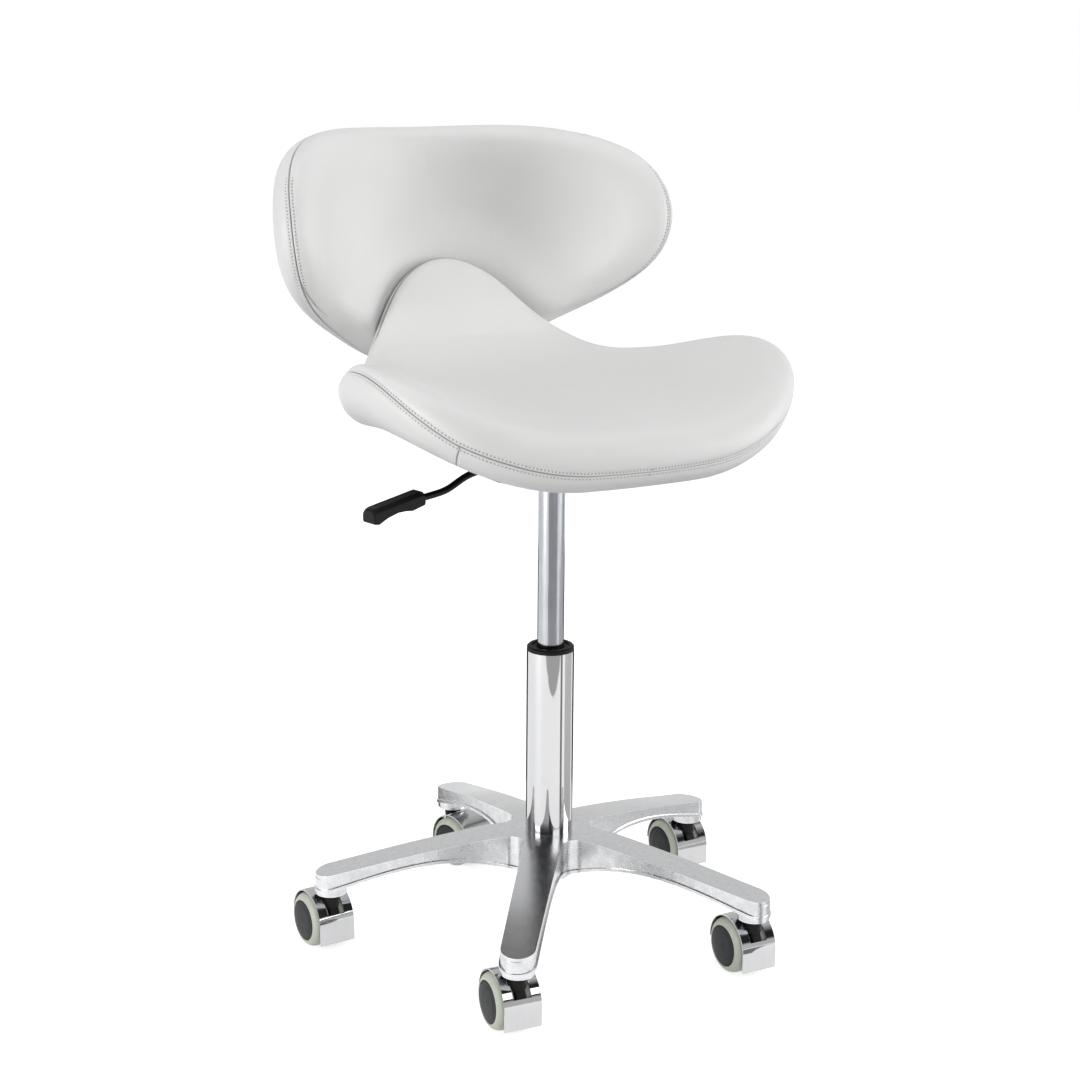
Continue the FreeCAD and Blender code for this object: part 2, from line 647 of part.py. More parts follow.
def pipe_y(r_out, r_in, y0, y1, x, z):
    return along_y(r_out, y0, y1, x, z).cut(along_y(r_in, y0 - 1, y1 + 1, x, z))


back_board_t = 10.0
panel_t = 2.2
board_inset = 42.0
board_low, board_high = 640.0, 794.0
panel_inset = 34.0
panel_low, panel_high = 628.0, 798.0
back_pad = loft([pad_section(BACK_EDGE, q, BACK_R, back_point) for q in BACK_STATIONS])
back_pad = back_pad.cut(back_slab(-30, back_board_t, board_inset, board_low, board_high))
nut_top = -back_board_t
for x, z in back_bolts:
    back_pad = back_pad.cut(behind_back(along_y(11.0, nut_top - 8, nut_top + 1, x, z)))
save("backrest_cushion", back_pad)

back_board = back_slab(SKIN_GAP, back_board_t - SKIN_GAP, board_inset + 0.4, board_low + 0.4, board_high - 0.4)
rear_panel = back_slab(-0.5 - panel_t, -0.5, panel_inset, panel_low, panel_high)
for x, z in back_bolts:
    back_board = back_board.cut(behind_back(along_y(5.5, -30, 12, x, z)))
    back_board = back_board.cut(behind_back(along_y(11.0, -30, nut_top + 0.7, x, z)))
    rear_panel = rear_panel.cut(behind_back(along_y(5.5, -30, 12, x, z)))
save("backrest_shell", back_board)
save("backrest_rear_panel", rear_panel)
for x, z in back_bolts:
    barrel = pipe_y(5.4, 4.0, nut_top + 0.6, -SKIN_GAP, x, z)
    flange = pipe_y(10.5, 4.0, nut_top - 0.9, nut_top + 0.6, x, z)
    nuts.append(behind_back(union([barrel, flange])))
save("tee_nuts", *nuts)

# =============================== back bar ===============================


def back_bar():
    """Bent flat bar: foot under the plate, run to the rear, bend, upright behind the backrest."""
    pitch, tilt = rad(SEAT_PITCH), rad(BACK_TILT)
    start = V(0, 44 * math.cos(pitch), UNDERSIDE_Z + 44 * math.sin(pitch)) + V(0, -math.sin(pitch),
                                                                              math.cos(pitch)) * (plate_low - BAR_T / 2)
    run = V(0, math.cos(pitch), math.sin(pitch))
    rise = V(0, math.sin(tilt), math.cos(tilt))
    spot = back_point(0, BACK_REF_Z, -BACK_R)
    stand = spot + V(0, math.cos(tilt), -math.sin(tilt)) * (SKIN_GAP + panel_t + 0.5 + BAR_T / 2)
    # corner where the two straight legs would meet
    det = run.y * -rise.z + rise.y * run.z
    d = stand - start
    t = (d.y * -rise.z + rise.y * d.z) / det
    corner = start + run * t
    turn = math.acos(run.dot(rise))
    cut = BAR_BEND_R * math.tan(turn / 2)
    p1, p2 = corner - run * cut, corner + rise * cut
    half = (turn / 2)
    bis = (rise - run)
    bis.normalize()
    centre = corner + bis * (BAR_BEND_R / math.cos(half))
    mid = centre - bis * BAR_BEND_R
    end = stand + rise * 16.0
    path = Part.Wire([Part.makeLine(start, p1), Part.Arc(p1, mid, p2).toShape(), Part.makeLine(p2, end)])
    n = V(0, -run.z, run.y) * (BAR_T / 2)
    w = V(BAR_HALF, 0, 0)
    profile = Part.makePolygon([start - w - n, start + w - n, start + w + n, start - w + n, start - w - n])
    strip = path.makePipeShell([profile], True, False)
    foot = under_seat(box(-70, 70, 44, 91, bar_low, plate_low))
    cap = behind_back(along_y(BAR_HALF, SKIN_GAP + panel_t + 0.5, SKIN_GAP + panel_t + 0.5 + BAR_T, 0, 16.0))
    solid = union([strip, foot, cap])
    for sx in (-1, 1):
        solid = solid.cut(under_seat(cyl(4.4, -30, 5, sx * BOLT_X, BOLT_Y)))
    for x, z in back_bolts:
        solid = solid.cut(behind_back(along_y(4.4, -5, 30, x, z)))
    return solid


save("back_bar", back_bar())


def bolt(length):
    """Button-head bolt pointing up, head underside at Z = 0."""
    head = turned([(0, -4.4), (3.6, -4.2), (6.2, -2.6), (7.0, 0), (0, 0)])
    socket = Part.Face(Part.makePolygon([V(2.5 * math.cos(i * math.pi / 3), 2.5 * math.sin(i * math.pi / 3), -5)
                                         for i in range(7)])).extrude(V(0, 0, 2.8))
    shank = cyl(3.95, 0, length)
    return union([head.cut(socket), shank])


bolts = []
for x, y in bolt_spots:
    low = bar_low if y > 0 else plate_low
    bolts.append(under_seat(moved(bolt(board_top - low - 0.5), x, y, low)))
for x, z in back_bolts:
    far = SKIN_GAP + panel_t + 0.5 + BAR_T
    b = spun(bolt(far + back_board_t - 0.5), 90, V(0, 0, 0), V(1, 0, 0))
    bolts.append(behind_back(moved(b, x, far, z)))
save("bolts", *bolts)
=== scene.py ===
import json
import math

import bmesh
import bpy
import numpy as np
from mathutils import Matrix, Vector, bvhtree, kdtree


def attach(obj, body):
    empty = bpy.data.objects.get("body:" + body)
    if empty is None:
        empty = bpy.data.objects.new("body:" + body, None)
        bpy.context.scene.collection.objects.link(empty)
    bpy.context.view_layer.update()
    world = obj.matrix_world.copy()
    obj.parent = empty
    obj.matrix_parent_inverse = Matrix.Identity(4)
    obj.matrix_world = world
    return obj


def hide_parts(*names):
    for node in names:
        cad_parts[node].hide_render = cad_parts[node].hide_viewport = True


# Looks of a rolling stylist stool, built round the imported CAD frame.
# Blender works in metres; shapes are worked out in millimetres and scaled by MM.
# Z is up, the floor is Z = 0, and the sitter faces -Y with the right hand on the -X side.

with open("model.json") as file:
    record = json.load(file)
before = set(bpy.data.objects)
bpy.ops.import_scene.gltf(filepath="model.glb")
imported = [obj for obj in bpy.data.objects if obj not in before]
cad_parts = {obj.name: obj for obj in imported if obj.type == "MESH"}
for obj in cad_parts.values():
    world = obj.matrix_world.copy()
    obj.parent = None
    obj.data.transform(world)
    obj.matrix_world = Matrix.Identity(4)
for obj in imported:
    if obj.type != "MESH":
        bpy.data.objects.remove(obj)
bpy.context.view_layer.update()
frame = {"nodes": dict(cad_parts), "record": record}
nodes = frame["nodes"]
scene = bpy.context.scene

MM = 0.001
WELD = 0.02                       # points closer than this are one

# ---- seat pad, the same curves as its CAD solid (mm, degrees) ----
SEAT_START = (-199.1, 550.3)      # Y and Z of the front tip of the middle surface
SEAT_PITCH = 4.5
FRONT_CURL = 25.4
FRONT_CURL_R = 70.0
TONGUE_RISE = 55.6
TONGUE_BEND_R = 170.0
TONGUE_STRAIGHT = 54.6
SEAT_LENGTH = 512.8
SEAT_THICK = 59.0
TONGUE_THICK = 34.0
THIN_AT = 375.0
WING_START = 60.0
WING_RISE = 2.0
WING_END = 268.0
# half outline of the pad laid flat: (half-width, distance along the middle line)
SEAT_OUTLINE = [(0, 0), (60.0, 3.2), (118.0, 14.0), (168.0, 36.0), (207.0, 76.0), (226.0, 126.0),
                (230.0, 175.0), (222.5, 225.0), (203.0, 275.0), (168.0, 327.0), (132.0, 380.0),
                (97.0, 432.0), (66.0, 476.0), (36.0, 502.0), (0, 512.8)]
SEAT_SPINE = (62.0, 468.0)        # middle line that the skin's rows close on
# where the seam runs: (distance along the middle line, degrees up from the rim's edge)
SEAT_SEAM = [(0, -9), (20, -14), (50, -18), (82, -5), (108, 7), (133, 18), (167, 26), (205, 30),
             (268, 28), (345, 8), (400, 17), (431, 17), (476, 17), (490, 18), (502, 21), (512, 23)]
# past TONGUE_TUCK the seam's painted shadow is also wider and darker, painted shade of the gap
# between the tongue and the backrest
TONGUE_TUCK = (395.0, 425.0)      # past here the seam is a deep tuck along the tongue's edge

# ---- backrest pad ----
BACK_Y = 305.0
BACK_REF_Z = 720.0
BACK_TILT = 9.3
BACK_HALF = 24.0
BACK_WRAP = 2.8
BACK_WRAP_4 = 18.2
BACK_OUTLINE = [(0, 840.7), (55.4, 840.2), (188.7, 806.9), (194.9, 801.7), (213.1, 677.5),
                (121.6, 609.9), (62.0, 582.7), (0, 578.7)]
BACK_SPINE = (800.0, 625.0)
BACK_SEAM = [(600, -6), (634, 0), (705, 3), (737, 2), (768, -3), (817, -5)]
BACK_BACKING = 0.45               # cover cloth over the board in the backrest's rear
BACK_DISH = 3.0                   # the face is this much lower than the roll round its edge

# ---- upholstery work ----
STITCH_PITCH = 3.6
STITCH_LENGTH = 2.3
STITCH_R = 0.55
STITCH_OFF = 3.6                  # stitch row to seam
GROOVE_DEPTH = 1.4
GROOVE_HALF = 0.75
SEAT_GIRTH, BACK_GIRTH = 1518.1, 1160.7
JOINT_GIRTH = 1326.0              # where the seat's boxing is joined, round the rim
JOINT_LEAN = 0.3
SEAT_JOINTS = ((JOINT_GIRTH, JOINT_LEAN), (SEAT_GIRTH - JOINT_GIRTH, -JOINT_LEAN))
BACK_FOLDS = ((815.0, -1.0), (BACK_GIRTH - 815.0, 1.0))
SEWN_TO = 268.0                   # the seat's seam is topstitched up to here along its middle line
SIDE_STITCHES = (664.0, 776.0)    # the backrest is topstitched between these heights
HUG_REACH = 70.0
HUG_MOST = 13.0
HUG_CLEAR = 1.4
SHRINK = 1.2                      # the skin starts this much smaller than its pad
SWELL_CAP = 2.2                   # the most that the stuffing pushes the skin out
SWELL_SHARE = 0.8                 # share of that push which is kept
SWELL_VOXEL = 5.0
SWELL_PRESSURE = 4
SWELL_FRAMES = 20
FACE_ROWS, UNDER_ROWS, RIM_ROWS = 26, 12, 9    # rows of a skin's grid

# ---- cover under the seat, panel behind the backrest ----
COVER_INSET = 58.0
COVER_ALONG = (57.0, 431.0)       # from and to, along the seat's middle line
COVER_OFF = 0.9                   # the cover's middle below the pad's underside
COVER_CELLS = (90, 140)
COVER_THICK = 0.6
STAPLE_INSET, STAPLE_PITCH = 7.0, 26.0
PANEL_INSET = 36.0
PANEL_SPINE = (640.0, 790.0)
PANEL_MID = -25.5                 # the panel's middle behind the backrest's middle surface
PANEL_ROLL = 1.2

# ---- lever grip; profiles are (distance out from the column, height) ----
LEVER_SWING = 14.0
GRIP_TOP = [(174.0, 514.4), (178.0, 516.0), (233.0, 507.2), (237.0, 505.2)]
GRIP_LOW = [(174.0, 502.6), (178.0, 501.6), (190.0, 498.8), (199.0, 499.8), (208.0, 499.6),
            (221.0, 496.2), (231.0, 491.6), (237.0, 492.4)]
GRIP_HALF = 9.6
GRIP_BEVEL = 3.6
GRIP_RIB = 3.2

# ---- studio, in metres, watts and degrees ----
FLOOR_HALF = 14.0
FLOOR_GLOW = 0.60                 # evens the floor out to the horizon, as a lit white sweep does
UNDER_LIGHT = 0.56                # light that comes up from below the horizon
SIDE_LIGHT = 0.84
TOP_SHARE = 0.6                   # light from overhead, as a share of SIDE_LIGHT
MIRRORED_LIGHT = 0.85
DARK_SIDE = (-0.48, -0.877, 0.0)  # the unlit end of the studio, in front of the stool
DARK_TONE = (0.035, 0.035, 0.038)
# brightness round the horizon as bright metal mirrors it: (share of a turn from -X, tone)
STUDIO_PANELS = [(0.0, 0.75), (0.06, 0.95), (0.20, 0.95), (0.235, 0.12), (0.27, 0.10), (0.30, 0.9),
                 (0.43, 0.95), (0.47, 0.25), (0.50, 0.6), (0.60, 0.9), (0.80, 0.9), (0.84, 0.3),
                 (0.88, 0.3), (0.92, 0.75), (1.0, 0.75)]
# (name, place, aim, size, power)
LIGHTS = [("key", (-2.6, -0.2, 0.35), (0, 0, 0.55), (1.2, 1.6), 48),
          ("fill", (2.4, -1.2, 0.8), (0, 0, 0.6), (1.4, 1.6), 32),
          ("top", (0.0, 0.3, 3.0), (0, 0, 0.4), (2.0, 2.0), 21),
          ("front", (0.5, -3.4, 2.1), (0, 0.1, 0.65), (2.0, 1.4), 24)]
# cards on the floor: (name, heading anticlockwise from +X, half-angle, near, far, tone)
FLOOR_CARDS = [("flag_line", -63, 5, 0.33, 1.06, 0.30),
               ("flag_far_middle", -105, 38, 1.06, 3.2, 0.60),
               ("flag_far_right", -8, 21, 1.06, 3.2, 0.62),
               ("flag_right", 30, 14, 0.33, 1.7, 0.03),
               ("flag_left", 92, 14, 0.33, 1.7, 0.03),
               ("flag_side", -20, 24, 0.33, 1.7, 0.78)]
CARD_LIFT = 0.002
# standing card: (name, heading, distance, width, height, tone)
STANDING_CARD = ("flag_behind_camera", -112, 3.4, 0.7, 2.0, 0.06)
LENS, SENSOR = 69.04, 36.0        # mm
CAMERA_PLACE = (-1.0009, -1.8081, 0.9634)
CAMERA_HEADING, CAMERA_DIP, CAMERA_ROLL = -28.64, 14.30, 0.4436


# ---- small helpers ----


def add_object(name, mesh):
    made = bpy.data.objects.new(name, mesh)
    scene.collection.objects.link(made)
    return made


def ease(x, lo, hi):
    t = np.clip((x - lo) / (hi - lo), 0.0, 1.0)
    return t * t * (3 - 2 * t)


def relaxed(values):
    """Each entry moved half-way to the mean of its neighbours round the loop."""
    return 0.5 * values + 0.25 * (np.roll(values, 1, axis=0) + np.roll(values, -1, axis=0))


def unit_rows(v):
    return v / np.maximum(np.linalg.norm(v, axis=-1, keepdims=True), 1e-9)


def smooth_outline(half, count):
    """Evenly spaced points round the closed spline through a half outline and its mirror image."""
    pts = np.array(list(half) + [(-x, s) for x, s in half[-2:0:-1]], float)
    n = len(pts)
    after = np.roll(pts, -1, axis=0)
    gap = np.linalg.norm(after - pts, axis=1)
    slope = (after - pts) / gap[:, None]
    system = np.zeros((n, n))
    for i in range(n):
        system[i, i - 1] += gap[i - 1]
        system[i, i] += 2 * (gap[i - 1] + gap[i])
        system[i, (i + 1) % n] += gap[i]
    bend = np.linalg.solve(system, 6 * (slope - np.roll(slope, 1, axis=0)))
    bend_after = np.roll(bend, -1, axis=0)
    t = np.linspace(0, 1, 200, endpoint=False)[None, :, None]
    g = gap[:, None, None] ** 2 / 6
    a, b = pts[:, None], after[:, None]
    m0, m1 = bend[:, None], bend_after[:, None]
    bent = g * (((1 - t) ** 3 - (1 - t)) * m0 + (t ** 3 - t) * m1)
    return even_points(((1 - t) * a + t * b + bent).reshape(-1, 2), count)


def even_points(loop, count):
    """Points spaced evenly by length round a closed polyline."""
    closed = np.vstack([loop, loop[:1]])
    run = np.concatenate([[0], np.cumsum(np.linalg.norm(np.diff(closed, axis=0), axis=1))])
    at = np.linspace(0, run[-1], count, endpoint=False)
    return np.stack([np.interp(at, run, closed[:, k]) for k in range(closed.shape[1])], -1)


def distance_to_loop(points, loop):
    """Distance of each 2-D point from a closed polyline."""
    a, b = loop, np.roll(loop, -1, axis=0)
    d = b - a
    best = np.full(len(points), 1e9)
    for start, step in zip(a, d):
        t = np.clip(((points - start) @ step) / (step @ step), 0, 1)
        best = np.minimum(best, np.hypot(*(points - start - t[:, None] * step).T))
    return best


def round_rim(depth, radius):
    inside = np.clip(2 * radius * depth - depth * depth, 0, None)
    return np.where(depth < radius, np.sqrt(inside), radius)


def grid_normals(grid):
    """Outward unit normals of a skin grid whose columns run round a loop."""
    round_ = np.roll(grid, -1, axis=0) - np.roll(grid, 1, axis=0)
    up = np.gradient(grid, axis=1)
    return unit_rows(np.cross(round_, up))


def grid_mesh(name, grid, **fields):
    """Mesh of a grid (mm) whose columns run round a loop; fields become point attributes."""
    cols, rows = grid.shape[:2]
    here = np.arange(cols)[:, None] * rows + np.arange(rows - 1)[None, :]
    there = np.roll(here, -1, axis=0)
    quads = np.stack([here, there, there + 1, here + 1], -1).reshape(-1, 4)
    mesh = bpy.data.meshes.new(name)
    mesh.from_pydata((grid.reshape(-1, 3) * MM).tolist(), [], quads.tolist())
    for key, values in fields.items():
        data = mesh.attributes.new(key, "FLOAT", "POINT").data
        data.foreach_set("value", values.astype(np.float32).ravel())
    bm = bmesh.new()
    bm.from_mesh(mesh)
    bmesh.ops.remove_doubles(bm, verts=bm.verts, dist=WELD * MM)
    bmesh.ops.recalc_face_normals(bm, faces=bm.faces)
    bm.to_mesh(mesh)
    bm.free()
    mesh.shade_smooth()
    return mesh


# ---- pad surfaces ----


def seat_mid(s):
    """Point and slope of the seat's middle line at distance s from its front tip."""
    curl = math.radians(SEAT_PITCH - FRONT_CURL)
    rise = math.radians(TONGUE_RISE - SEAT_PITCH)
    front, rear = FRONT_CURL_R * abs(curl), TONGUE_BEND_R * rise
    flat = SEAT_LENGTH - front - rear - TONGUE_STRAIGHT
    y = np.full_like(s, SEAT_START[0])
    z = np.full_like(s, SEAT_START[1])
    a = np.full_like(s, math.radians(FRONT_CURL))
    left = s.astype(float).copy()
    for length, turn in ((front, curl), (flat, 0.0), (rear, rise), (TONGUE_STRAIGHT, 0.0)):
        step = np.clip(left, 0, length)
        half = 0.5 * turn * step / length
        chord = step * np.sinc(half / math.pi)
        y = y + chord * np.cos(a + half)
        z = z + chord * np.sin(a + half)
        a = a + 2 * half
        left = left - step
    return y, z, a


def seat_place(x, s, off):
    y, z, a = seat_mid(s)
    fade = 1 / (1 + np.exp((s - WING_END) / 40))
    off = off + WING_RISE * np.maximum(0, np.abs(x) - WING_START) ** 2 / 1000 * fade
    return np.stack([x, y - off * np.sin(a), z + off * np.cos(a)], -1)


def seat_half_thick(s):
    return 0.5 * (SEAT_THICK + (TONGUE_THICK - SEAT_THICK) / (1 + np.exp(-(s - THIN_AT) / 30)))


def seam_angle(pairs):
    """The seam's angle at each outline point, from (distance along the pad, degrees)."""

    def at(outline):
        angle = np.interp(outline[:, 1], *np.array(pairs, float).T)
        for _ in range(12):
            angle = relaxed(angle)
        return np.radians(angle)

    return at


def back_place(x, q, off):
    wrap = BACK_WRAP * x * x / 1000 + BACK_WRAP_4 * (x / 200) ** 4
    slope = 2 * BACK_WRAP * x / 1000 + BACK_WRAP_4 * 4 * (x / 200) ** 3 / 200
    unit = 1 / np.sqrt(1 + slope * slope)
    out, up, t = -wrap - off * unit, q - BACK_REF_Z, math.radians(BACK_TILT)
    return np.stack([x - off * slope * unit, BACK_Y + out * math.cos(t) + up * math.sin(t),
                     BACK_REF_Z + up * math.cos(t) - out * math.sin(t)], -1)


def back_half_thick(q):
    return np.full_like(q, BACK_HALF)


NEAR_SEAM = [0.0, 0.35, 0.7, 1.1, 1.6, 2.2, 2.9, STITCH_OFF, 4.3, 5.2, 6.6, 8.4, 11.0]


class Pad:
    """A round-rimmed pad. Columns of its skin go round the rim; rows go from the middle line of the
    underside over the rim to the middle line of the face, crowded together near the seam."""

    def __init__(self, half, place, half_thick, spine, seam_angle, columns, dish=0.0, backing=0.0):
        self.place, self.half_thick, self.dish, self.backing = place, half_thick, dish, backing
        self.outline = smooth_outline(half, columns)
        ahead = np.roll(self.outline, -1, axis=0) - np.roll(self.outline, 1, axis=0)
        inward = unit_rows(np.stack([-ahead[:, 1], ahead[:, 0]], -1))
        area = np.sum(self.outline[:, 0] * ahead[:, 1])
        self.inward = inward if area > 0 else -inward
        self.seam = seam_angle(self.outline)
        along = (self.outline[:, 1] - half[0][1]) / (half[-1][1] - half[0][1])
        self.spine = np.stack([np.zeros(columns), spine[0] + (spine[1] - spine[0]) * along], -1)
        step = np.linalg.norm(np.roll(self.outline, -1, axis=0) - self.outline, axis=1)
        self.girth = np.concatenate([[0], np.cumsum(step)[:-1]])
        self.length = step.sum()

    def skin(self):
        """Grid of the shrunk skin's points and each point's distance across from the seam."""
        radius = self.half_thick(self.outline[:, 1])
        near = np.array([-d for d in NEAR_SEAM[:0:-1]] + NEAR_SEAM)
        blend = np.linspace(0, 1, RIM_ROWS, endpoint=False)
        angle = []
        for k, r in enumerate(radius):
            band = self.seam[k] + near / r
            low = -math.pi / 2 + (band[0] + math.pi / 2) * blend
            high = band[-1] + (math.pi / 2 - band[-1]) * (1 - blend[::-1])
            angle.append(np.concatenate([low, band, high]))
        angle = np.array(angle)
        depth = radius[:, None] * (1 - np.cos(angle))
        rim = self.outline[:, None] + self.inward[:, None] * depth[..., None]
        rim_r = self.half_thick(rim[..., 1])
        backing = self.backing * ease(depth, 8, 16)
        rim_off = np.sign(angle) * round_rim(depth, rim_r) - (angle < 0) * backing
        across = (angle - self.seam[:, None]) * radius[:, None]
        ring = self.outline + self.inward * radius[:, None]
        parts, offs, far = [], [], []
        for count, sign in ((UNDER_ROWS, -1), (FACE_ROWS, 1)):
            f = np.arange(count, 0, -1) / count
            f = 1 - (1 - f) ** 1.35
            spot = ring[:, None] + (self.spine - ring)[:, None] * f[None, :, None]
            depth = distance_to_loop(spot.reshape(-1, 2), self.outline).reshape(spot.shape[:2])
            off = sign * round_rim(depth, self.half_thick(spot[..., 1]))
            if sign > 0:
                off = off - self.dish * ease(depth, 26, 66)
            else:
                off = off - self.backing * ease(depth, 8, 16)
            edge = across[:, :1] if sign < 0 else across[:, -1:]
            away = edge + sign * np.linalg.norm(spot - ring[:, None], axis=-1)
            if sign > 0:
                spot, off, away = spot[:, ::-1], off[:, ::-1], away[:, ::-1]
            parts.append(spot)
            offs.append(off)
            far.append(away)
        flat = np.concatenate([parts[0], rim, parts[1]], axis=1)
        off = np.concatenate([offs[0], rim_off, offs[1]], axis=1)
        grid = self.place(flat[..., 0], flat[..., 1], off)
        grid = grid - self.outward(grid) * SHRINK
        return grid, np.concatenate([far[0], across, far[1]], axis=1)

    def outward(self, grid):
        normal = grid_normals(grid)
        middle = grid.mean(axis=1, keepdims=True)
        row = grid.shape[1] // 2
        if np.sum(normal[:, row] * (grid[:, row] - middle[:, 0])) < 0:
            normal = -normal
        normal[:, :1] = unit_rows(normal[:, 1:2].copy())
        normal[:, -1:] = unit_rows(normal[:, -2:-1].copy())
        return normal


# ---- stuffing ----


def point_tree(points):
    tree = kdtree.KDTree(len(points))
    for i, p in enumerate(points):
        tree.insert(p, i)
    tree.balance()
    return tree


def swell(name, grid, across, stapled):
    """Moves that a cloth simulation gives the skin: pressed out by the foam, held at its seam and
    where it is stapled underneath."""
    mesh = grid_mesh(name, grid)
    work = add_object(name, mesh)
    remesh = work.modifiers.new("Remesh", "REMESH")
    remesh.mode = "VOXEL"
    remesh.voxel_size = SWELL_VOXEL * MM
    graph = bpy.context.evaluated_depsgraph_get()
    even = bpy.data.meshes.new_from_object(work.evaluated_get(graph))
    work.modifiers.clear()
    work.data = even
    start = np.array([v.co for v in even.vertices]) / MM
    lookup = point_tree(grid.reshape(-1, 3))
    held = work.vertex_groups.new(name="held")
    flat_across, flat_staple = across.ravel(), stapled.ravel()
    for i, p in enumerate(start):
        _, k, _ = lookup.find(p)
        hold = max(float(flat_staple[k]), 1.0 - float(ease(abs(flat_across[k]), 3.0, 9.0)))
        held.add([i], hold, "REPLACE")
    cloth = work.modifiers.new("Cloth", "CLOTH")
    settings = cloth.settings
    settings.quality = 5
    settings.use_pressure = True
    settings.uniform_pressure_force = SWELL_PRESSURE
    settings.vertex_group_mass = "held"
    settings.tension_stiffness = 20
    settings.compression_stiffness = 20
    settings.bending_stiffness = 6
    settings.effector_weights.gravity = 0
    cloth.point_cache.frame_start = 1
    cloth.point_cache.frame_end = SWELL_FRAMES
    for f in range(1, SWELL_FRAMES + 1):
        scene.frame_set(f)
    graph = bpy.context.evaluated_depsgraph_get()
    blown = bpy.data.meshes.new_from_object(work.evaluated_get(graph))
    moves = np.array([v.co for v in blown.vertices]) / MM - start
    scene.frame_set(1)
    bpy.data.objects.remove(work)
    length = np.linalg.norm(moves, axis=1, keepdims=True)
    moves *= np.tanh(length / SWELL_CAP) * SWELL_CAP / np.maximum(length, 1e-6)
    tree = point_tree(start)
    out = np.zeros((across.size, 3))
    for i, p in enumerate(grid.reshape(-1, 3)):
        found = tree.find_n(p, 8)
        w = np.array([1 / (d * d + 4.0) for _, _, d in found])
        out[i] = (moves[[k for _, k, _ in found]] * w[:, None]).sum(0) / w.sum()
    out = out.reshape(grid.shape)
    for _ in range(30):
        out = relaxed(out)
        out[:, 1:-1] = 0.5 * out[:, 1:-1] + 0.25 * (out[:, :-2] + out[:, 2:])
    return out * ease(np.abs(across), 1.0, 14.0)[..., None]


def seam_relief(across, sewn, tuck):
    """Height (mm) of the skin near a seam: a sharp groove between two low folded edges, deeper at
    a tuck, with a shallow dent under each row of stitches."""
    groove = -GROOVE_DEPTH * (1 + 1.4 * tuck) * np.exp(-(across / (GROOVE_HALF * (1 + tuck))) ** 2)
    folds = 0.5 * np.exp(-((np.abs(across) - 1.9) / 1.2) ** 2)
    pulled = -0.45 * np.exp(-((np.abs(across) - STITCH_OFF) / 0.8) ** 2)
    return groove + folds * (1 - tuck) + pulled * sewn


# ---- stitches ----


def tube(stations):
    """Points and faces of a tube along +X through (x, half-width, half-height, lift) stations."""
    pts, faces = [], []
    sides = 8
    for x, width, height, lift in stations:
        for b in np.linspace(0, 2 * math.pi, sides, endpoint=False):
            pts.append((x, width * math.cos(b), lift + height * math.sin(b)))
    for i in range(len(stations) - 1):
        for j in range(sides):
            k = (j + 1) % sides
            faces.append((i * sides + j, i * sides + k, (i + 1) * sides + k, (i + 1) * sides + j))
    faces.append(tuple(range(sides))[::-1])
    faces.append(tuple(range(len(pts) - sides, len(pts))))
    return np.array(pts), faces


def stitch_shape():
    """One short raised thread, its ends dipping into the skin."""
    stations = []
    for u in np.linspace(-1, 1, 7):
        r = STITCH_R * (1 - abs(u) ** 3.2) ** 0.5 + 0.02
        stations.append((u * STITCH_LENGTH / 2, r, r, STITCH_R * (0.35 - 1.1 * u * u)))
    return tube(stations)


def staple_shape():
    """The crown of a wire staple, its ends bent down."""
    return tube([(x, 0.5, 0.35, -0.5 if abs(x) > 4 else 0.0) for x in (-4.6, -3.9, 3.9, 4.6)])


def stitch_line(line, normals, run, keep=None):
    """Places (point, along, normal) of a row of stitches, one at each STITCH_PITCH of run, a length
    measured along the line."""
    at = np.arange(math.ceil(run[0] / STITCH_PITCH), run[-1] // STITCH_PITCH) * STITCH_PITCH

    def sample(values, where):
        return np.stack([np.interp(where, run, column) for column in values.T], -1)

    spot, up = sample(line, at), unit_rows(sample(normals, at))
    along = unit_rows((sample(line, at + 0.6) - sample(line, at - 0.6))[:, :3])
    return [(spot[i, :3], along[i], up[i]) for i in range(len(at)) if keep is None or keep(spot[i])]


def row_mesh(name, places, shape):
    """Copies of a shape, one at each (point, along, up)."""
    unit, unit_faces = shape
    pts, faces = [], []
    for spot, along, up in places:
        side = np.cross(up, along)
        side = side / np.linalg.norm(side)
        up = np.cross(along, side)
        base = len(pts) * len(unit)
        pts.append(spot + unit @ np.array([along, side, up]))
        faces.extend(tuple(base + k for k in f) for f in unit_faces)
    mesh = bpy.data.meshes.new(name)
    mesh.from_pydata((np.vstack(pts) * MM).tolist(), [], faces)
    mesh.shade_smooth()
    return mesh


# ---- materials ----


class Nodes:
    """A node tree and short calls that add nodes to it."""

    def __init__(self, tree):
        self.tree = tree

    def add(self, kind, **values):
        node = self.tree.nodes.new(kind)
        for key, value in values.items():
            setattr(node, key, value)
        return node

    def link(self, value, socket):
        if hasattr(value, "is_output"):
            self.tree.links.new(value, socket)
        else:
            socket.default_value = value

    def math(self, operation, a, b=0.0):
        node = self.add("ShaderNodeMath", operation=operation)
        self.link(a, node.inputs[0])
        self.link(b, node.inputs[1])
        return node.outputs[0]

    def times(self, a, b):
        return self.math("MULTIPLY", a, b)

    def fit(self, value, lo, hi, to_lo=0.0, to_hi=1.0):
        node = self.add("ShaderNodeMapRange")
        keys = ("Value", "From Min", "From Max", "To Min", "To Max")
        for key, v in zip(keys, (value, lo, hi, to_lo, to_hi)):
            self.link(v, node.inputs[key])
        return node.outputs["Result"]

    def mix(self, factor, a, b):
        node = self.add("ShaderNodeMix", data_type="RGBA")
        self.link(factor, node.inputs["Factor"])
        self.link(a if hasattr(a, "is_output") else (*a, 1.0), node.inputs[6])
        self.link(b if hasattr(b, "is_output") else (*b, 1.0), node.inputs[7])
        return node.outputs[2]


materials = {}


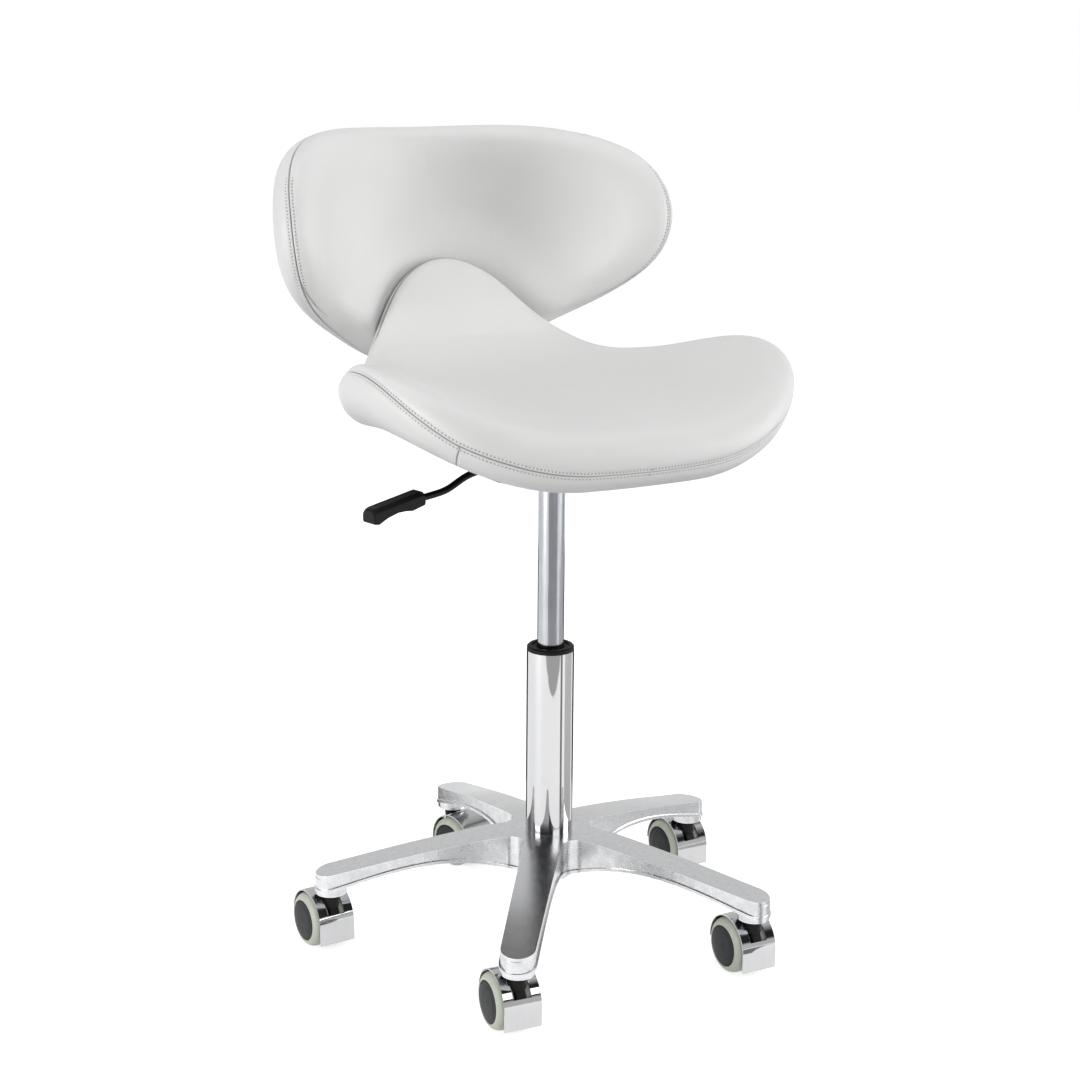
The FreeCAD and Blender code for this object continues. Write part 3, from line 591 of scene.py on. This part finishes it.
class Surface(Nodes):
    """A Principled material, kept in materials by its name."""

    def __init__(self, name):
        self.material = materials[name] = bpy.data.materials.new(name)
        self.material.use_nodes = True
        super().__init__(self.material.node_tree)
        self.shader = self.tree.nodes["Principled BSDF"]
        self.where = self.add("ShaderNodeTexCoord").outputs["Object"]

    def set(self, **values):
        """Constants on the shader's own sockets; names use _ for spaces."""
        for key, value in values.items():
            self.shader.inputs[key.replace("_", " ")].default_value = value

    def stretched(self, x, y, z):
        node = self.add("ShaderNodeMapping")
        self.link(self.where, node.inputs["Vector"])
        node.inputs["Scale"].default_value = (x, y, z)
        return node.outputs["Vector"]

    def texture(self, kind, scale, where=None, **values):
        node = self.add("ShaderNodeTex" + kind, **values)
        self.link(self.where if where is None else where, node.inputs["Vector"])
        node.inputs["Scale"].default_value = scale
        return node

    def noise(self, scale, detail=2.0, rough=0.5, where=None):
        node = self.texture("Noise", scale, where)
        node.inputs["Detail"].default_value = detail
        node.inputs["Roughness"].default_value = rough
        return node.outputs["Fac"]

    def cells(self, scale, feature="F1", where=None):
        return self.texture("Voronoi", scale, where, feature=feature).outputs["Distance"]

    def field(self, name):
        return self.add("ShaderNodeAttribute", attribute_name=name).outputs["Fac"]

    def colour(self, value):
        value = value if hasattr(value, "is_output") else (*value, 1.0)
        self.link(value, self.shader.inputs["Base Color"])
        return self

    def rough(self, value):
        self.link(value, self.shader.inputs["Roughness"])

    def relief(self, *layers):
        """Stacked bumps, each (height, depth in metres)."""
        normal = None
        for height, depth in layers:
            bump = self.add("ShaderNodeBump")
            self.link(height, bump.inputs["Height"])
            bump.inputs["Distance"].default_value = depth
            if normal is not None:
                self.link(normal, bump.inputs["Normal"])
            normal = bump.outputs["Normal"]
        self.link(normal, self.shader.inputs["Normal"])


def edge_wear_and_highlight(s, width, strength=1.0):
    """Near 1 on convex edges, 0 on flats."""
    node = s.add("ShaderNodeBevel")
    node.samples = 4
    node.inputs["Radius"].default_value = width
    geometry = s.add("ShaderNodeNewGeometry")
    dot = s.add("ShaderNodeVectorMath", operation="DOT_PRODUCT")
    s.link(node.outputs["Normal"], dot.inputs[0])
    s.link(geometry.outputs["Normal"], dot.inputs[1])
    return s.fit(dot.outputs["Value"], 0.97, 0.82, 0.0, strength)


VINYL = (0.72, 0.72, 0.715)


def vinyl(name, seamed, joints=(), folds=()):
    """Light grey-white upholstery vinyl: pebble grain, soft sheen, and the sewn seam's shadow.
    A joint is the (girth, lean) of a short seam across the boxing, a fold the (girth, direction)
    of a pleat beside the seam."""
    s = Surface(name)
    warp = s.add("ShaderNodeVectorMath", operation="ADD")
    drift = s.texture("Noise", 260)
    shrink = s.add("ShaderNodeVectorMath", operation="SCALE")
    s.link(drift.outputs["Color"], shrink.inputs[0])
    shrink.inputs["Scale"].default_value = 0.0016
    s.link(s.where, warp.inputs[0])
    s.link(shrink.outputs[0], warp.inputs[1])
    grain = s.cells(780, "DISTANCE_TO_EDGE", warp.outputs[0])
    pebble = s.fit(grain, 0.0, 0.22)
    pores = s.noise(2600, 2)
    soft = s.noise(9, 3)
    tone = s.fit(soft, 0.3, 0.7)
    base = s.mix(tone, [c * 0.985 for c in VINYL], [min(1, c * 1.012) for c in VINYL])
    # painted shade: the grain's valleys are darkened a little
    base = s.mix(s.fit(grain, 0.0, 0.08, 0.10, 0.0), base, [c * 0.72 for c in VINYL])
    layers = [(soft, 0.0012), (pebble, 0.00007), (pores, 0.00003)]
    if seamed:
        signed = s.field("seam_across")
        across = s.math("ABSOLUTE", signed)
        girth = s.field("seam_girth")
        sewn = s.field("seam_sewn")
        # painted shadow: a dark line along the seam's groove, wider and darker at the tuck as
        # painted shade of the narrow gap between the tongue and the backrest
        width = s.fit(s.field("seam_tuck"), 0.0, 1.0, 1.0, 3.6)
        line = s.fit(s.math("DIVIDE", across, width), 0.2, 0.9, 1.0, 0.0)
        line = s.times(line, s.fit(s.field("seam_tuck"), 0.0, 1.0, 0.72, 0.95))
        base = s.mix(line, base, (0.05, 0.05, 0.05))
        from_row = s.math("ABSOLUTE", s.math("SUBTRACT", across, STITCH_OFF))
        beside = s.fit(from_row, 0.25, 1.0, 1.0, 0.0)
        wave = s.math("COSINE", s.times(girth, 2 * math.pi / STITCH_PITCH))
        beside = s.times(beside, sewn)
        layers.append((s.times(beside, wave), 0.0003))
        # painted shade in the needle holes between the stitches
        hole_shade = s.times(beside, s.fit(wave, -0.1, -0.6, 0.0, 0.65))
        base = s.mix(hole_shade, base, (0.06, 0.06, 0.06))
        below = s.fit(signed, -0.4, -0.9)
        for at, lean in joints:
            from_joint = s.math("SUBTRACT", s.math("SUBTRACT", girth, s.times(signed, lean)), at)
            near = s.times(s.fit(s.math("ABSOLUTE", from_joint), 0.3, 1.0, 1.0, 0.0), below)
            # painted shade in the crease of the boxing's joint
            base = s.mix(s.times(near, 0.65), base, (0.10, 0.10, 0.10))
            layers.append((near, -0.0008))
        for at, way in folds:
            past = s.times(s.math("SUBTRACT", girth, at), way)
            centre = s.fit(past, 0.0, 55.0, 0.5, 9.0)
            near = s.fit(s.math("ABSOLUTE", s.math("SUBTRACT", signed, centre)), 0.3, 1.3, 1.0, 0.0)
            kept = s.times(s.fit(past, -1.0, 1.0), s.fit(past, 30.0, 58.0, 1.0, 0.0))
            near = s.times(near, kept)
            # painted shade in the pleat's crease
            base = s.mix(s.times(near, 0.45), base, (0.16, 0.16, 0.16))
            layers.append((near, -0.001))
    s.colour(base)
    s.rough(s.fit(s.math("ADD", pebble, soft), 0.4, 1.6, 0.40, 0.48))
    s.set(Sheen_Weight=0.08, Sheen_Roughness=0.4, Specular_IOR_Level=0.5)
    s.set(Coat_Weight=0.08, Coat_Roughness=0.3)
    s.relief(*layers)


def polished_aluminium():
    """Hand-polished die casting: smooth bright top faces, duller cast walls, and bright lips that
    are partly rubbed metal and partly a painted highlight.
    """
    s = Surface("polished_aluminium")
    buff = s.noise(160, 4, 0.6, s.stretched(1, 1, 6))
    cast = s.noise(85, 4, 0.6)
    pits = s.cells(420)
    geometry = s.add("ShaderNodeNewGeometry")
    split = s.add("ShaderNodeSeparateXYZ")
    s.link(geometry.outputs["Normal"], split.inputs[0])
    wall = s.fit(split.outputs["Z"], 0.6, 0.88, 1.0, 0.0)
    rubbed = s.mix(s.fit(cast, 0.35, 0.7), (0.56, 0.565, 0.58), (0.66, 0.665, 0.68))
    face = s.mix(s.fit(buff, 0.3, 0.7), (0.62, 0.625, 0.635), (0.69, 0.695, 0.705))
    body = s.mix(wall, face, rubbed)
    # lips brightened towards 0.9: partly rubbed metal, partly a painted highlight along the lip
    s.colour(s.mix(edge_wear_and_highlight(s, 0.0016, 0.8), body, (0.90, 0.905, 0.91)))
    dull = s.times(wall, s.fit(cast, 0.35, 0.7, 0.10, 0.04))
    s.rough(s.math("ADD", s.fit(buff, 0.3, 0.7, 0.17, 0.24), dull))
    s.set(Metallic=1.0)
    uneven = s.times(s.math("ADD", cast, s.times(pits, 0.2)), s.fit(wall, 0, 1, 0.15, 1.0))
    s.relief((uneven, 0.00022), (buff, 0.00002))


def chrome(name, tint=0.9):
    """Bright plating with faint wipe marks."""
    s = Surface(name)
    smear = s.noise(60, 5, 0.65, s.stretched(1, 1, 0.25))
    wiped = (tint * 0.95, tint * 0.955, tint * 0.97)
    s.colour(s.mix(s.fit(smear, 0.35, 0.7), (tint, tint, tint * 1.01), wiped))
    s.rough(s.fit(smear, 0.35, 0.75, 0.025, 0.07))
    s.set(Metallic=1.0)
    s.relief((s.noise(18, 2), 0.00015))


def satin_steel(name, tone, lines=(1, 1, 1), rough=(0.28, 0.4)):
    """Ground or drawn steel with fine lines."""
    s = Surface(name)
    ground = s.noise(1500, 3, 0.6, s.stretched(*lines))
    cloud = s.noise(45, 3)
    dark = [c * 0.86 for c in tone]
    s.colour(s.mix(s.fit(s.math("ADD", ground, cloud), 0.8, 1.3), dark, tone))
    s.rough(s.fit(ground, 0.3, 0.7, *rough))
    s.set(Metallic=1.0)
    s.relief((ground, 0.00002))


def coated(name, tone, rough, grain_scale, grain_depth, worn=(0.04, 0.04, 0.04), gloss=0.28):
    """Paint or moulded plastic: fine texture, uneven gloss and lighter rubbed edges."""
    s = Surface(name)
    grain = s.noise(grain_scale, 3, 0.6)
    cloud = s.noise(35, 4, 0.6)
    base = s.mix(s.fit(cloud, 0.3, 0.7), tone, [min(1, c * 1.35 + 0.004) for c in tone])
    edge = s.times(edge_wear_and_highlight(s, 0.0012), s.fit(s.noise(300, 3), 0.4, 0.65, 0.05, 0.5))
    s.colour(s.mix(edge, base, worn))
    s.rough(s.fit(s.math("ADD", cloud, s.times(grain, 0.5)), 0.45, 1.0, *rough))
    s.set(Specular_IOR_Level=gloss)
    s.relief((grain, grain_depth), (cloud, 0.0001))


def tyre_rubber():
    """Soft grey-green wheel tread with patches of floor dust."""
    s = Surface("grey_tyre")
    cloud = s.noise(90, 4, 0.6)
    dust = s.noise(420, 3, 0.7)
    base = s.mix(s.fit(cloud, 0.3, 0.7), (0.44, 0.47, 0.40), (0.52, 0.55, 0.47))
    s.colour(s.mix(s.fit(dust, 0.55, 0.8, 0.0, 0.35), base, (0.30, 0.31, 0.28)))
    s.rough(s.fit(dust, 0.3, 0.7, 0.42, 0.58))
    s.set(Specular_IOR_Level=0.4)
    s.relief((s.noise(1300, 2), 0.00004))


def plywood():
    """Beech plywood: long fibres and thin plies."""
    s = Surface("plywood")
    fibre = s.noise(240, 5, 0.65, s.stretched(1, 0.07, 1))
    wave = s.texture("Wave", 210, wave_type="BANDS", bands_direction="Z")
    wave.inputs["Distortion"].default_value = 2.0
    grain = s.mix(s.fit(fibre, 0.3, 0.7), (0.50, 0.34, 0.20), (0.74, 0.56, 0.36))
    s.colour(s.mix(s.fit(wave.outputs["Fac"], 0.6, 1.0, 0.0, 0.35), grain, (0.38, 0.25, 0.14)))
    s.rough(s.fit(fibre, 0.3, 0.7, 0.55, 0.75))
    s.relief((fibre, 0.00008))


def nonwoven():
    """Black spun cloth with a pressed dot pattern."""
    s = Surface("black_fabric")
    dots = s.cells(520, "F1")
    fibres = s.noise(1800, 4, 0.7)
    s.colour(s.mix(s.fit(dots, 0.15, 0.45), (0.012, 0.012, 0.013), (0.045, 0.045, 0.048)))
    s.rough(s.fit(fibres, 0.3, 0.7, 0.75, 0.95))
    s.set(Sheen_Weight=0.25, Sheen_Roughness=0.5)
    s.relief((dots, 0.0002), (fibres, 0.0001))


def thread():
    """Twisted sewing thread, a touch lighter than the vinyl."""
    s = Surface("white_thread")
    twist = s.texture("Wave", 900, wave_type="BANDS", bands_direction="DIAGONAL").outputs["Fac"]
    s.colour(s.mix(twist, (0.74, 0.74, 0.73), (0.86, 0.86, 0.85)))
    s.rough(s.fit(twist, 0.0, 1.0, 0.5, 0.65))
    s.relief((twist, 0.00008))


polished_aluminium()
chrome("chrome_tube", 0.56)
chrome("chrome_hood", 0.54)
satin_steel("satin_steel", (0.42, 0.43, 0.46), (1, 1, 0.02), (0.10, 0.17))
satin_steel("plain_steel", (0.52, 0.53, 0.55))
coated("black_paint", (0.022, 0.022, 0.024), (0.34, 0.5), 700, 0.00006, (0.25, 0.25, 0.26))
coated("black_rod", (0.004, 0.004, 0.0045), (0.28, 0.4), 900, 0.00003, gloss=0.16)
coated("black_plastic", (0.005, 0.005, 0.0055), (0.42, 0.58), 1200, 0.00004, gloss=0.14)
coated("caster_nylon", (0.004, 0.004, 0.0045), (0.4, 0.55), 1000, 0.00004, gloss=0.16)
coated("wheel_disc", (0.009, 0.0095, 0.011), (0.4, 0.55), 1100, 0.00005, (0.06, 0.06, 0.065), 0.22)
tyre_rubber()
coated("black_rubber", (0.02, 0.02, 0.02), (0.6, 0.8), 500, 0.00008, (0.06, 0.06, 0.06))
vinyl("white_vinyl", False)
vinyl("seat_vinyl", True, joints=SEAT_JOINTS)
vinyl("back_vinyl", True, folds=BACK_FOLDS)
vinyl("panel_vinyl", False)
nonwoven()
plywood()
thread()

slot_of = {part["node"]: part["material_slot"] for part in frame["record"]["subparts"]}
for name, node in nodes.items():
    if not node.material_slots:
        node.data.materials.append(None)
    for slot in node.material_slots:
        slot.material = materials[slot_of[name]]


def dress(piece, body, finish, node=None):
    """Give a piece its look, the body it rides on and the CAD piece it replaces."""
    piece.data.materials.append(materials[finish])
    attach(piece, body)
    if node:
        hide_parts(node)


# ---- seat and backrest ----


def upholster(name, body, node, pad, finish, stapled_inset, sewn_at, tuck_at=None, shape=None):
    """Swollen, seamed skin of a pad and its stitches. sewn_at and tuck_at tell, along the middle
    line, whether the seam is topstitched and how much it is a deep tuck."""
    grid, across = pad.skin()
    stapled = ease(-across, stapled_inset, stapled_inset + 8)
    stuffed = SWELL_SHARE * swell(name + "_work", grid, across, stapled)
    grid = grid + pad.outward(grid) * (SHRINK * ease(np.abs(across), 2, 12))[..., None] + stuffed
    if shape:
        grid = shape(pad, grid, across)
    normal = pad.outward(grid)
    along = pad.outline[:, 1]
    sewn = sewn_at(along).astype(float)[:, None] * np.ones(across.shape)
    tuck = (tuck_at(along) if tuck_at else np.zeros(len(along)))[:, None] * np.ones(across.shape)
    grid = grid + normal * seam_relief(across, sewn, tuck)[..., None]
    girth = np.repeat(pad.girth[:, None], grid.shape[1], axis=1)
    skin = add_object(name, grid_mesh(name, grid, seam_across=across, seam_girth=girth,
                                      seam_sewn=sewn, seam_tuck=tuck))
    dress(skin, body, finish, node)
    middle = int(np.argmin(np.abs(across[0])))
    step = NEAR_SEAM.index(STITCH_OFF)
    wrap = np.append(np.arange(len(grid)), 0)
    run = np.append(pad.girth, pad.length)
    places = []
    for row in (middle - step, middle + step):
        line = np.column_stack([grid[wrap, row], along[wrap]])
        places += stitch_line(line, normal[wrap, row], run, keep=lambda q: bool(sewn_at(q[3])))
    if finish == "seat_vinyl":
        places += joint_stitches(grid, normal, across, pad)
    stitches = add_object(name + "_stitches", row_mesh(name + "_stitches", places, stitch_shape()))
    dress(stitches, body, "white_thread")
    return skin


def joint_stitches(grid, normal, across, pad):
    """Short rows of stitches beside the joint in the seat's boxing, on both sides of the pad."""
    places = []
    rows = np.flatnonzero((across[0] < -4.5) & (across[0] > -27))
    for girth, lean in SEAT_JOINTS:
        for side in (-STITCH_OFF, STITCH_OFF):
            line, up = [], []
            for row in rows:
                at = girth + side + lean * across[0, row]
                line.append([np.interp(at, pad.girth, grid[:, row, k]) for k in range(3)])
                up.append([np.interp(at, pad.girth, normal[:, row, k]) for k in range(3)])
            line, up = np.array(line), unit_rows(np.array(up))
            run = np.concatenate([[0], np.cumsum(np.linalg.norm(np.diff(line, axis=0), axis=1))])
            places += stitch_line(line, up, run)
    return places


def hug(pad, grid, across):
    """The backrest's foam presses forward round the seat's tongue that leans on it."""
    mesh = seat_skin.data
    tree = bvhtree.BVHTree.FromPolygons([v.co for v in mesh.vertices],
                                        [p.vertices for p in mesh.polygons])
    step = Vector((0, MM, 0))
    move = np.zeros(across.shape)
    for i, j in np.argwhere(across > 8):
        spot = Vector(grid[i, j] * MM)
        near = tree.find_nearest(spot)[3]
        if near is None or near > HUG_REACH * MM:
            continue
        free = 0.0
        while free < HUG_MOST and tree.find_nearest(spot - (free + 1) * step)[3] > HUG_CLEAR * MM:
            free += 1.0
        move[i, j] = free * (1 - float(ease(near / MM, HUG_REACH * 0.3, HUG_REACH)))
    limit = move.copy()
    for _ in range(4):
        move[:, 1:-1] = 0.5 * move[:, 1:-1] + 0.25 * (move[:, :-2] + move[:, 2:])
        move = relaxed(move)
    move = np.minimum(move, limit + 0.5) * ease(across, 8, 26)
    return grid - move[..., None] * np.array([0.0, 1.0, 0.0])


seat_pad = Pad(SEAT_OUTLINE, seat_place, seat_half_thick, SEAT_SPINE, seam_angle(SEAT_SEAM), 480)
back_pad = Pad(BACK_OUTLINE, back_place, back_half_thick, BACK_SPINE, seam_angle(BACK_SEAM), 400,
               BACK_DISH, BACK_BACKING)
seat_skin = upholster("seat_skin", "seat", "seat_cushion", seat_pad, "seat_vinyl", 62,
                      sewn_at=lambda s: s < SEWN_TO, tuck_at=lambda s: ease(s, *TONGUE_TUCK))
upholster("backrest_skin", "seat", "backrest_cushion", back_pad, "back_vinyl", 55,
          sewn_at=lambda q: (q > SIDE_STITCHES[0]) & (q < SIDE_STITCHES[1]), shape=hug)


# ---- covers under and behind ----


def cover_sheet(name, place):
    """A thin sheet; place(u, v) gives its points for u, v from 0 to 1."""
    grid = place(*np.meshgrid(*(np.linspace(0, 1, n) for n in COVER_CELLS), indexing="ij"))
    across_n, along_n = COVER_CELLS
    here = np.arange(across_n - 1)[:, None] * along_n + np.arange(along_n - 1)[None, :]
    quads = np.stack([here, here + along_n, here + along_n + 1, here + 1], -1).reshape(-1, 4)
    mesh = bpy.data.meshes.new(name)
    mesh.from_pydata((grid.reshape(-1, 3) * MM).tolist(), [], quads.tolist())
    made = add_object(name, mesh)
    solid = made.modifiers.new("Thickness", "SOLIDIFY")
    solid.thickness = COVER_THICK * MM
    solid.offset = 0
    mesh.shade_smooth()
    return made, grid


def half_width_at(pad, along):
    right = pad.outline[pad.outline[:, 0] > 0]
    order = np.argsort(right[:, 1])
    return np.interp(along, right[order, 1], right[order, 0])


def edge_loop(grid):
    """Border points of a sheet's grid, in order."""
    return np.vstack([grid[:-1, 0], grid[-1, :-1], grid[:0:-1, -1], grid[0, :0:-1]])


def staples(name, body, grid):
    """Wire staples round the border of a cover, on its underside."""
    loop = even_points(edge_loop(grid), 4000)
    length = np.sum(np.linalg.norm(np.roll(loop, -1, axis=0) - loop, axis=1))
    centre = grid.reshape(-1, 3).mean(0)
    places = []
    count = int(length / STAPLE_PITCH)
    for k in range(count):
        i = int(k * len(loop) / count)
        along = unit_rows(loop[(i + 12) % len(loop)] - loop[i - 12])
        inner = unit_rows(centre - loop[i])
        inner = unit_rows(inner - along * (inner @ along))
        out = unit_rows(np.cross(along, inner))
        out = out if out[2] < 0 else -out
        places.append((loop[i] + inner * STAPLE_INSET + out * 0.55, along, out))
    dress(add_object(name, row_mesh(name, places, staple_shape())), body, "plain_steel")


def cover_place(u, v):
    """The spun cloth under the seat: flat over the mounting plate, slack elsewhere."""
    s = COVER_ALONG[0] + (COVER_ALONG[1] - COVER_ALONG[0]) * v
    x = (2 * u - 1) * (half_width_at(seat_pad, s) - COVER_INSET)
    border = np.minimum(np.minimum(u, 1 - u), np.minimum(v, 1 - v) * 1.6)
    plate = np.hypot(np.maximum(np.abs(x) - 88, 0), np.maximum(np.abs(s - 208) - 108, 0))
    slack = ease(border, 0.02, 0.16) * ease(plate, 2, 34)
    puckers = np.sin(x * 0.21 + 1.3 * np.sin(s * 0.05)) * np.sin(s * 0.17 + 0.8 * np.sin(x * 0.04))
    hem = 0.5 * (1 - ease(border, 0.0, 0.035))
    off = -seat_half_thick(s) - COVER_OFF - hem - slack * (1.5 + 0.7 * puckers)
    return seat_place(x, s, off)


def panel_skin():
    """Upholstered rear panel: a flat vinyl face with a soft rolled edge, clear of the back bar."""
    ring = back_pad.outline + back_pad.inward * PANEL_INSET
    ring = even_points(ring[(ring[:, 1] > 0)], 300)
    ahead = np.roll(ring, -1, axis=0) - np.roll(ring, 1, axis=0)
    inward = unit_rows(np.stack([-ahead[:, 1], ahead[:, 0]], -1))
    if np.sum(ring[:, 0] * ahead[:, 1]) < 0:
        inward = -inward
    low, high = PANEL_SPINE
    along = (ring[:, 1] - ring[:, 1].min()) / np.ptp(ring[:, 1])
    spine = np.stack([np.zeros(len(ring)), low + (high - low) * along], -1)
    rows = []
    for angle in np.radians(np.arange(90, -91, -18)):
        depth = PANEL_ROLL * (1 - math.cos(angle))
        off = PANEL_MID + PANEL_ROLL * math.sin(angle)
        rows.append((ring + inward * depth, np.full(len(ring), off)))
    inner = ring + inward * PANEL_ROLL
    for f in np.linspace(0, 1, 22)[1:]:
        spot = inner + (spine - inner) * f
        rows.append((spot, np.full(len(ring), PANEL_MID - PANEL_ROLL)))
    grid = np.stack([back_place(flat[:, 0], flat[:, 1], off) for flat, off in rows], axis=1)
    made = add_object("rear_panel_skin", grid_mesh("rear_panel_skin", grid))
    dress(made, "seat", "panel_vinyl", "backrest_rear_panel")


cover, cover_grid = cover_sheet("dust_cover_cloth", cover_place)
dress(cover, "seat", "black_fabric", "seat_dust_cover")
staples("cover_staples", "seat", cover_grid)
panel_skin()


# ---- lever grip ----


def lever_point(u, side, z):
    """A point of the lever: u out from the column along the lever, side across it, z up (mm)."""
    swing = math.radians(LEVER_SWING)
    out, across = (math.cos(swing), math.sin(swing)), (math.sin(swing), -math.cos(swing))
    return (-u * out[0] + side * across[0], -u * out[1] + side * across[1], z)


def grip_mesh():
    """Moulded paddle: bevelled top, cross ribs along it, a finger hollow underneath."""
    top = np.array(GRIP_TOP).T
    low = np.array(GRIP_LOW).T
    start, end = top[0][0], top[0][-1]
    us = np.concatenate([[start, start + 0.5], np.arange(start + 1.2, end - 1.2, 0.5),
                         [end - 0.5, end]])
    sections = []
    for u in us:
        z1, z0 = np.interp(u, *top), np.interp(u, *low)
        close = min(u - start, end - u)
        pinch = 0.9 * (1 - float(ease(close, 0.0, 1.2)))
        h = GRIP_HALF - pinch
        z1, z0 = z1 - pinch, z0 + pinch
        ribbed = float(ease(close, 5.0, 8.0))
        rib = -0.55 * ribbed * (0.5 + 0.5 * math.cos(2 * math.pi * (u - start) / GRIP_RIB)) ** 2
        half = [(h - 1.0, z0), (h - 0.2, z0 + 0.4), (h, z0 + 1.2), (h, z1 - GRIP_BEVEL - 0.5),
                (h - 0.3, z1 - GRIP_BEVEL), (h - GRIP_BEVEL + 0.2, z1 - 0.4),
                (h - GRIP_BEVEL - 0.4, z1 - 0.1), (h - GRIP_BEVEL - 1.2, z1 + rib)]
        sections.append([lever_point(u, s, z) for s, z in half + [(-s, z) for s, z in half[::-1]]])
    pts = np.array(sections)
    n, m = pts.shape[:2]
    here = np.arange(n - 1)[:, None] * m + np.arange(m)[None, :]
    side = np.arange(n - 1)[:, None] * m + (np.arange(m)[None, :] + 1) % m
    quads = np.stack([here, side, side + m, here + m], -1).reshape(-1, 4).tolist()
    mesh = bpy.data.meshes.new("lever_grip_shell")
    ends = [list(range(m)), list(range((n - 1) * m, n * m))]
    mesh.from_pydata((pts.reshape(-1, 3) * MM).tolist(), [], quads + ends)
    bm = bmesh.new()
    bm.from_mesh(mesh)
    bmesh.ops.recalc_face_normals(bm, faces=bm.faces)
    bm.to_mesh(mesh)
    bm.free()
    for face in mesh.polygons:
        face.use_smooth = len(face.vertices) == 4
    mesh.set_sharp_from_angle(angle=math.radians(24))
    return mesh


dress(add_object("lever_grip_shell", grip_mesh()), "lever", "black_plastic", "lever_grip")


# ---- floor, light and camera ----


def stage_floor():
    mesh = bpy.data.meshes.new("floor")
    h = FLOOR_HALF
    mesh.from_pydata([(-h, -h, 0), (h, -h, 0), (h, h, 0), (-h, h, 0)], [], [(0, 1, 2, 3)])
    floor = add_object("floor", mesh)
    s = Surface("floor")
    s.colour((0.86, 0.86, 0.86)).rough(0.7)
    s.set(Emission_Color=(1, 1, 1, 1), Emission_Strength=FLOOR_GLOW)
    floor.data.materials.append(s.material)
    floor.visible_diffuse = False


def studio_world():
    """Plain white studio, with darker gaps between its panels for bright metal to mirror."""
    world = bpy.data.worlds.new("studio")
    world.use_nodes = True
    scene.world = world
    n = Nodes(world.node_tree)
    n.tree.nodes.clear()
    way = n.add("ShaderNodeTexCoord").outputs["Generated"]
    split = n.add("ShaderNodeSeparateXYZ")
    n.link(way, split.inputs[0])
    height = split.outputs["Z"]
    panels = n.add("ShaderNodeValToRGB")
    ramp = panels.color_ramp
    while len(ramp.elements) < len(STUDIO_PANELS):
        ramp.elements.new(0.5)
    for element, (at, value) in zip(ramp.elements, STUDIO_PANELS):
        element.position = at
        element.color = (value, value, value, 1)
    turn = n.math("ARCTAN2", split.outputs["Y"], split.outputs["X"])
    n.link(n.fit(turn, -math.pi, math.pi), panels.inputs[0])
    toward = n.add("ShaderNodeVectorMath", operation="DOT_PRODUCT")
    n.link(way, toward.inputs[0])
    toward.inputs[1].default_value = DARK_SIDE
    dark = n.times(n.fit(toward.outputs["Value"], 0.0, 0.3), n.fit(height, 0.20, 0.32))
    room = n.mix(dark, panels.outputs[0], DARK_TONE)
    sides = n.fit(height, -0.3, 0.15, UNDER_LIGHT, SIDE_LIGHT)
    even = n.times(sides, n.fit(height, 0.2, 0.95, 1.0, TOP_SHARE))

    def background(colour, strength):
        node = n.add("ShaderNodeBackground")
        n.link(colour, node.inputs["Color"])
        n.link(strength, node.inputs["Strength"])
        return node.outputs[0]

    def choose(when, no, yes):
        node = n.add("ShaderNodeMixShader")
        for socket, value in zip(node.inputs, (when, no, yes)):
            n.link(value, socket)
        return node.outputs[0]

    path = n.add("ShaderNodeLightPath").outputs
    mirrored = background(room, MIRRORED_LIGHT)
    light = choose(path["Is Glossy Ray"], background((0.8, 0.8, 0.8, 1), even), mirrored)
    seen = choose(path["Is Camera Ray"], light, background((1, 1, 1, 1), 1.0))
    n.link(seen, n.add("ShaderNodeOutputWorld").inputs["Surface"])


def soft_light(name, place, aim, size, power):
    lamp = bpy.data.lights.new(name, "AREA")
    lamp.shape = "RECTANGLE"
    lamp.size, lamp.size_y = size
    lamp.energy = power
    made = bpy.data.objects.new(name, lamp)
    made.location = place
    made.rotation_euler = (Vector(aim) - Vector(place)).to_track_quat("-Z", "Y").to_euler()
    scene.collection.objects.link(made)


def studio_card(name, corners, tone):
    """A card that shows only in bright metal."""
    mesh = bpy.data.meshes.new(name)
    mesh.from_pydata(corners, [], [(0, 1, 2, 3)])
    card = add_object(name, mesh)
    s = Surface(name)
    s.colour((tone, tone, tone)).rough(0.9)
    s.set(Specular_IOR_Level=0.0)
    mesh.materials.append(s.material)
    card.visible_camera = False
    card.visible_diffuse = False
    card.visible_shadow = False


def floor_card(name, heading, half_angle, near, far, tone):
    """A wedge on the floor that points at the column."""
    spots = []
    for r, side in ((near, -1), (far, -1), (far, 1), (near, 1)):
        a = math.radians(heading + side * half_angle)
        spots.append((r * math.cos(a), r * math.sin(a), CARD_LIFT))
    studio_card(name, spots, tone)


def standing_card(name, heading, distance, width, height, tone):
    a = math.radians(heading)
    x, y = distance * math.cos(a), distance * math.sin(a)
    u, v = -math.sin(a) * width / 2, math.cos(a) * width / 2
    corners = [(x - u, y - v, 0), (x + u, y + v, 0), (x + u, y + v, height), (x - u, y - v, height)]
    studio_card(name, corners, tone)


def studio_camera():
    lens = bpy.data.cameras.new("camera")
    lens.lens = LENS
    lens.sensor_width = SENSOR
    lens.clip_end = 100.0
    made = bpy.data.objects.new("camera", lens)
    heading = Matrix.Rotation(math.radians(CAMERA_HEADING), 4, "Z")
    tilt = Matrix.Rotation(math.radians(90 - CAMERA_DIP), 4, "X")
    roll = Matrix.Rotation(math.radians(CAMERA_ROLL), 4, "Z")
    made.matrix_world = Matrix.Translation(CAMERA_PLACE) @ heading @ tilt @ roll
    scene.collection.objects.link(made)
    scene.camera = made


stage_floor()
studio_world()
for light in LIGHTS:
    soft_light(*light)
for card in FLOOR_CARDS:
    floor_card(*card)
standing_card(*STANDING_CARD)
studio_camera()
scene.view_settings.view_transform = "Standard"
